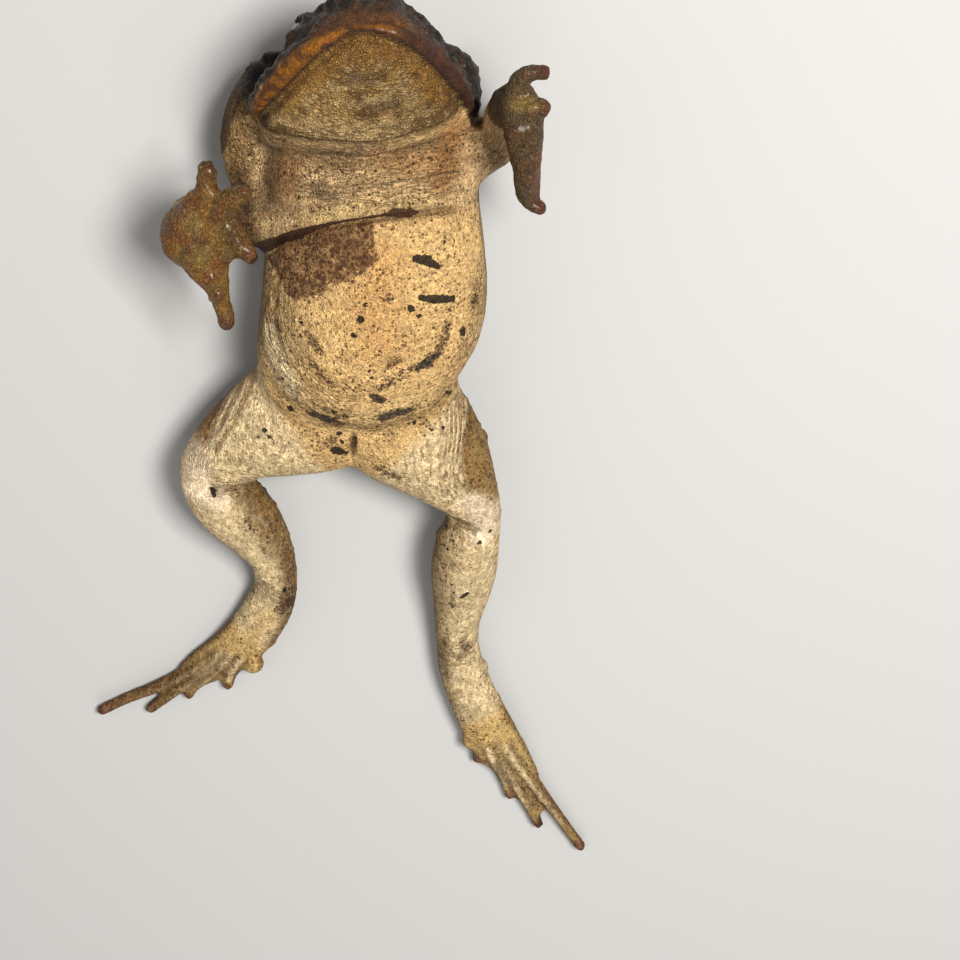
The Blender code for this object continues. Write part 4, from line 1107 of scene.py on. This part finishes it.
def strand_group():
    """Fine lines that run along the skin's lie."""
    group, given, result = new_group("strands", {"Lie": VECTOR, "Scale": NUMBER}, ["Lines"])
    lines = textured(group, given["Lie"], given["Scale"], 2.0)[0]
    ridge = maths(group, "ABSOLUTE", maths(group, "SUBTRACT", lines, 0.5))
    group.links.new(ranged(group, ridge, 0.10, 0.0), result["Lines"])
    return group


def grain_group():
    """Small rounded grains, as their height."""
    group, given, result = new_group("grains", {"Vector": VECTOR, "Scale": NUMBER}, ["Height"])
    inputs = {"Vector": wobbled(group, given["Vector"], 700.0, 2.0, 0.0009), "Scale": given["Scale"]}
    cells = node(group, "ShaderNodeTexVoronoi", inputs, feature="DISTANCE_TO_EDGE")
    group.links.new(ranged(group, cells.outputs["Distance"], 0.0, 0.32), result["Height"])
    return group


GROUPS = {
    "specks": speck_group(),
    "ragged": ragged_group(),
    "strands": strand_group(),
    "grains": grain_group(),
}
print("node groups:", len(GROUPS))


def placed(tree, name, **inputs):
    """A node group placed in a material, with its own values. Returns its output socket."""
    return node(tree, "ShaderNodeGroup", inputs, node_tree=GROUPS[name]).outputs[0]


# %% [markdown]
# ## The skin's material
#
# The ground colours are overlaid in the order in which nature does it: broad blotches, grains with pale
# tops, fine wrinkle lines, dark specks, and last the stain, the scab and the flakes of dirt, which lie
# on the skin and are duller than it. Only the wet hands, the lips and the crown shine.

# %% The skin material
SPECK_BROWN = paint(58, 32, 16)
SPECK_ORANGE = paint(160, 112, 64)
BLOTCH_GREY = paint(166, 142, 102)
GRAIN_PALE = paint(214, 186, 136)
STRAND_BROWN = paint(92, 66, 36)
STAIN_BROWN = paint(110, 72, 42)
STAIN_DARK = paint(54, 28, 20)
SCAB_BROWN = paint(56, 30, 20)
DIRT = paint(26, 22, 17)
CAKE_GREY = paint(52, 46, 36)
SMEAR_GREY = paint(104, 88, 64)
CREASE_BROWN = paint(70, 48, 24)
PLEAT_PALE = paint(240, 214, 166)
PLEAT_RUST = paint(140, 94, 50)
FLECK_PALE = paint(196, 170, 112)
WART_TIP = paint(36, 24, 16)

# %% The scales of the patterns
# Each noise is how many lumps it has to the metre, how many finer layers, and how strong those are.
TONE = (160.0, 6.0, 0.62)
MIDDLE = (420.0, 3.0)
MOTTLE = (950.0, 3.0, 0.6)
FINE_NOISE = (1400.0, 3.0)
CLOUDS = (480.0, 5.0)
SMUDGES = (820.0, 3.0)
CLOUD_STRETCH = (1.0, 0.45, 1.0)
GRAIN_SCALE, CREASE_SCALE = 1000.0, 430.0
STRAND_SCALE = 0.8
PLEAT_SWING = 3.0
# The rusty specks read the pattern from a place aside, so that they don't fall on the brown ones.
RUSTY_SHIFT = (0.31, 0.17, 0.07)
RUSTY_SCALE, FINE_SCALE, BROAD_SCALE = 620.0, 880.0, 500.0
# For each torn mark, how many tears its edge has to the metre, and how many millimetres deep they go.
TEARS = {
    "stain": (700.0, 1.6),
    "scab": (500.0, 1.8),
    "flakes": (650.0, 2.2),
    "cakes": (620.0, 4.0),
    "smears": (620.0, 8.0),
}
SMEAR_SHRINK = 0.8
RELIEF_HEIGHT = 0.0007

# %% The layers of the skin's colour, and its relief


def skin_material():
    material, tree, shader = new_material("toad skin")
    place = node(tree, "ShaderNodeTexCoord").outputs["Object"]

    def stored(name, socket="Fac"):
        return node(tree, "ShaderNodeAttribute", attribute_name=name).outputs[socket]

    def amount(*shares):
        """The product of the shares."""
        total = shares[0]
        for share in shares[1:]:
            total = maths(tree, "MULTIPLY", total, share)
        return total

    def noisy(scale, detail, roughness=0.5, at=place):
        return textured(tree, at, scale, detail, roughness)[0]

    def torn(name, shrunk=0.0):
        """The mask of a mark whose depth is stored under the name, with its edge torn."""
        depth = maths(tree, "SUBTRACT", stored(name), shrunk) if shrunk else stored(name)
        return placed(tree, "ragged", Vector=place, Depth=depth, Scale=TEARS[name][0], Tear=TEARS[name][1])

    def lay(new_colour, *shares):
        """Mixes a colour over what is there already."""
        nonlocal colour
        colour = mixed(tree, amount(*shares), colour, new_colour)

    colour = stored("ground", "Color")
    tone, middle, mottle = noisy(*TONE), noisy(*MIDDLE), noisy(*MOTTLE)
    shade = amount(
        ranged(tree, tone, 0.25, 0.75, 0.72, 1.22),
        ranged(tree, middle, 0.3, 0.7, 0.8, 1.18),
        ranged(tree, mottle, 0.3, 0.7, 0.7, 1.2),
    )
    shades = node(tree, "ShaderNodeCombineColor", {0: shade, 1: shade, 2: shade}).outputs[0]
    colour = mixed(tree, 1.0, colour, shades, "MULTIPLY")

    stretched = node(tree, "ShaderNodeMapping", {"Vector": place, "Scale": CLOUD_STRETCH}).outputs[0]
    clouds, smudges = noisy(*CLOUDS, at=stretched), noisy(*SMUDGES, at=stretched)
    lay(BLOTCH_GREY, ranged(tree, clouds, 0.48, 0.6), stored("blotches"), 0.66)
    lay(STRAND_BROWN, ranged(tree, smudges, 0.53, 0.63), stored("blotches"), 0.45)

    grain = placed(tree, "grains", Vector=place, Scale=GRAIN_SCALE)
    lay(GRAIN_PALE, ranged(tree, grain, 0.6, 1.0), stored("grains"), 0.14)
    lay(STRAND_BROWN, maths(tree, "SUBTRACT", 1.0, grain), stored("grains"), 0.34)
    creases = maths(tree, "SUBTRACT", 1.0, placed(tree, "grains", Vector=place, Scale=CREASE_SCALE))
    creases = amount(creases, ranged(tree, tone, 0.38, 0.58), stored("grains"))
    lay(CREASE_BROWN, creases, 0.6)

    strands = placed(tree, "strands", Lie=stored("lie", "Vector"), Scale=STRAND_SCALE)
    patchy = ranged(tree, tone, 0.35, 0.6, 0.2, 0.62)
    lay(STRAND_BROWN, strands, stored("drawn"), patchy)
    pleat = maths(tree, "COSINE", maths(tree, "ADD", stored("pleat_turn"), amount(tone, PLEAT_SWING)))
    lay(PLEAT_PALE, ranged(tree, pleat, 0.1, 0.8), stored("pleats"), 0.7)
    lay(PLEAT_RUST, ranged(tree, pleat, -0.3, -0.9), stored("pleats"), patchy, 0.8)

    stain_colour = mixed(tree, ranged(tree, clouds, 0.47, 0.58), STAIN_BROWN, STAIN_DARK)
    lay(stain_colour, torn("stain"), ranged(tree, tone, 0.3, 0.7, 0.35, 0.92))

    aside = vector_maths(tree, "ADD", place, RUSTY_SHIFT)
    rusty = placed(tree, "specks", Vector=aside, Scale=RUSTY_SCALE, Amount=stored("specks"))
    fine = placed(tree, "specks", Vector=place, Scale=FINE_SCALE, Amount=stored("specks"))
    broad = placed(tree, "specks", Vector=place, Scale=BROAD_SCALE, Amount=amount(stored("specks"), 0.66))
    lay(SPECK_ORANGE, rusty, 0.5)
    lay(SPECK_BROWN, maths(tree, "MAXIMUM", fine, broad), 0.88)
    lay(WART_TIP, ranged(tree, stored("wart_tops"), 0.6, 0.95), 0.6)

    scab, flake, cake, smear = torn("scab"), torn("flakes"), torn("cakes"), torn("smears", SMEAR_SHRINK)
    lay(SCAB_BROWN, scab, 0.92)
    lay(CAKE_GREY, cake, ranged(tree, middle, 0.35, 0.6, 0.65, 0.9))
    lay(SMEAR_GREY, smear, 0.4)
    lay(DIRT, smear, ranged(tree, mottle, 0.42, 0.58), 0.88)
    lay(DIRT, flake, 0.95)
    lay(FLECK_PALE, ranged(tree, mottle, 0.56, 0.66), stored("wetness"), stored("grains"), 0.5)
    tree.links.new(colour, shader.inputs["Base Color"])

    dull = ranged(tree, tone, 0.2, 0.8, 0.55, 0.75)
    wet = stored("wetness")
    tree.links.new(maths(tree, "SUBTRACT", dull, amount(wet, 0.2)), shader.inputs["Roughness"])
    tree.links.new(amount(wet, ranged(tree, mottle, 0.4, 0.65, 0.1, 0.6)), shader.inputs["Coat Weight"])
    shader.inputs["Coat Roughness"].default_value = 0.22
    shader.inputs["Specular IOR Level"].default_value = 0.16

    relief = amount(grain, maths(tree, "ADD", amount(stored("grains"), 0.7), 0.3))
    for operation, height in (
        ("ADD", amount(noisy(*FINE_NOISE), 0.9)),
        ("ADD", amount(mottle, 0.9)),
        ("SUBTRACT", amount(strands, stored("drawn"), 0.8)),
        ("SUBTRACT", amount(creases, 0.9)),
        ("ADD", amount(maths(tree, "MAXIMUM", flake, scab), 0.8)),
        ("ADD", amount(pleat, stored("pleats"), 0.4)),
    ):
        relief = maths(tree, operation, relief, height)
    bump = node(tree, "ShaderNodeBump", {"Height": relief, "Strength": 1.0, "Distance": RELIEF_HEIGHT})
    tree.links.new(bump.outputs[0], shader.inputs["Normal"])
    return material


mesh.materials.clear()
mesh.materials.append(skin_material())
mesh.shade_smooth()
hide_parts(*FLESH)
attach(skin, "root")

# %% [markdown]
# ## The eyes
#
# A cane toad's eye is bronze, netted with black, with a pupil that is a lying oval. The eyeball is a
# finely divided ball in the place that the frame gives it. Each point keeps its place in the eye's own
# axes, and the material paints the iris from that, so that both eyes look outwards.

# %% The eyeballs
EYE_OUT_ANGLE = math.radians(66)
EYE_AHEAD = 0.3
CORNEA_BULGE = 0.6


def eye_axes(left):
    """The eye's axes as a matrix: forward along the head, over it and out of the head."""
    away = (1 if left else -1) * math.sin(EYE_OUT_ANGLE)
    out = Vector((away, EYE_AHEAD, math.cos(EYE_OUT_ANGLE))).normalized()
    ahead = (Vector((0, 1, 0)) - out * out.y).normalized()
    return head_axes @ Matrix((ahead, out.cross(ahead), out)).transposed()


def make_eye(name):
    low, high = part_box(name)
    turn = eye_axes(name == "eye_left")
    radius = (high.z - low.z) / 2
    eye = bmesh.new()
    bmesh.ops.create_uvsphere(eye, u_segments=64, v_segments=40, radius=radius)
    for vert in eye.verts:
        vert.co.z += CORNEA_BULGE * MM * max(vert.co.z / radius, 0) ** 6
    data = bpy.data.meshes.new(name + "_ball")
    eye.to_mesh(data)
    eye.free()
    gaze = data.attributes.new("gaze", "FLOAT_VECTOR", "POINT")
    gaze.data.foreach_set("vector", np.array([vert.co / MM for vert in data.vertices], np.float32).ravel())
    data.transform(Matrix.Translation((low + high) / 2) @ turn.to_4x4())
    data.shade_smooth()
    made = shown(name + "_ball", data)
    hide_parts(name)
    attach(made, "root")
    return made


# %% The eye material
IRIS_BRONZE = paint(150, 104, 44)
IRIS_NET = paint(30, 20, 12)
PUPIL_BLACK = paint(6, 5, 5)
IRIS_RADIUS = 5.0
PUPIL_SIZE = (3.0, 1.7)


def eye_material():
    material, tree, shader = new_material("toad eye")
    gaze = node(tree, "ShaderNodeAttribute", attribute_name="gaze").outputs["Vector"]
    parts = node(tree, "ShaderNodeSeparateXYZ", {0: gaze})
    flat = vector_maths(tree, "MULTIPLY", gaze, (1.0, 1.0, 0.0))
    from_axis = vector_maths(tree, "LENGTH", flat)
    oval = vector_maths(tree, "MULTIPLY", flat, (1 / PUPIL_SIZE[0], 1 / PUPIL_SIZE[1], 0.0))
    pupil = vector_maths(tree, "LENGTH", oval)
    net = textured(tree, gaze, 1.6, 5.0, 0.7)[0]
    colour = mixed(tree, ranged(tree, net, 0.42, 0.6), IRIS_NET, IRIS_BRONZE)
    colour = mixed(tree, ranged(tree, from_axis, IRIS_RADIUS - 0.6, IRIS_RADIUS + 0.2), colour, IRIS_NET)
    colour = mixed(tree, ranged(tree, pupil, 1.06, 0.96), colour, PUPIL_BLACK)
    colour = mixed(tree, ranged(tree, parts.outputs[2], 0.5, -0.5), colour, IRIS_NET)
    tree.links.new(colour, shader.inputs["Base Color"])
    shader.inputs["Roughness"].default_value = 0.12
    shader.inputs["Coat Weight"].default_value = 1.0
    shader.inputs["Coat Roughness"].default_value = 0.03
    return material


eye_finish = eye_material()
for name in ("eye_left", "eye_right"):
    make_eye(name).data.materials.append(eye_finish)

# %% [markdown]
# ## Floor and light
#
# A plain pale floor and large, soft lamps keep all attention on the animal. One lamp is the main one,
# up and to the side, so that the folds cast soft shadows. The others only fill.

# %% The floor
FLOOR_SIZE = 6.0
FLOOR_COLOUR = paint(180, 178, 174)

floor_mesh = bmesh.new()
bmesh.ops.create_grid(floor_mesh, x_segments=1, y_segments=1, size=FLOOR_SIZE / 2)
floor = shown("floor", bpy.data.meshes.new("floor"))
floor_mesh.to_mesh(floor.data)
floor_mesh.free()
floor_finish, _, floor_shader = new_material("pale floor")
floor_shader.inputs["Base Color"].default_value = (*FLOOR_COLOUR, 1)
floor_shader.inputs["Roughness"].default_value = 0.9
floor.data.materials.append(floor_finish)
print("floor in metres:", FLOOR_SIZE)

# %% The lamps
# Each lamp is its place, its size in metres and its power in watts. All are aimed at the belly.
LAMPS = {
    "main": ((0.5, 0.35, 1.15), 0.4, 25.0),
    "fill": ((-1.0, 0.3, 0.9), 1.2, 3.0),
    "back": ((0.1, -1.1, 0.8), 1.0, 4.0),
}
AIM = Vector((0.0, -0.02, 0.03))
SKY = (0.98, 0.97, 0.96, 1.0)
SKY_STRENGTH = 0.26

for name, (place, size, power) in LAMPS.items():
    lamp = shown(name, bpy.data.lights.new(name, "AREA"))
    lamp.data.size = size
    lamp.data.energy = power
    lamp.location = place
    lamp.rotation_euler = (AIM - Vector(place)).to_track_quat("-Z", "Y").to_euler()

world = bpy.data.worlds.new("studio")
world.use_nodes = True
world.node_tree.nodes["Background"].inputs["Color"].default_value = SKY
world.node_tree.nodes["Background"].inputs["Strength"].default_value = SKY_STRENGTH
bpy.context.scene.world = world
bpy.context.scene.view_settings.view_transform = "Standard"
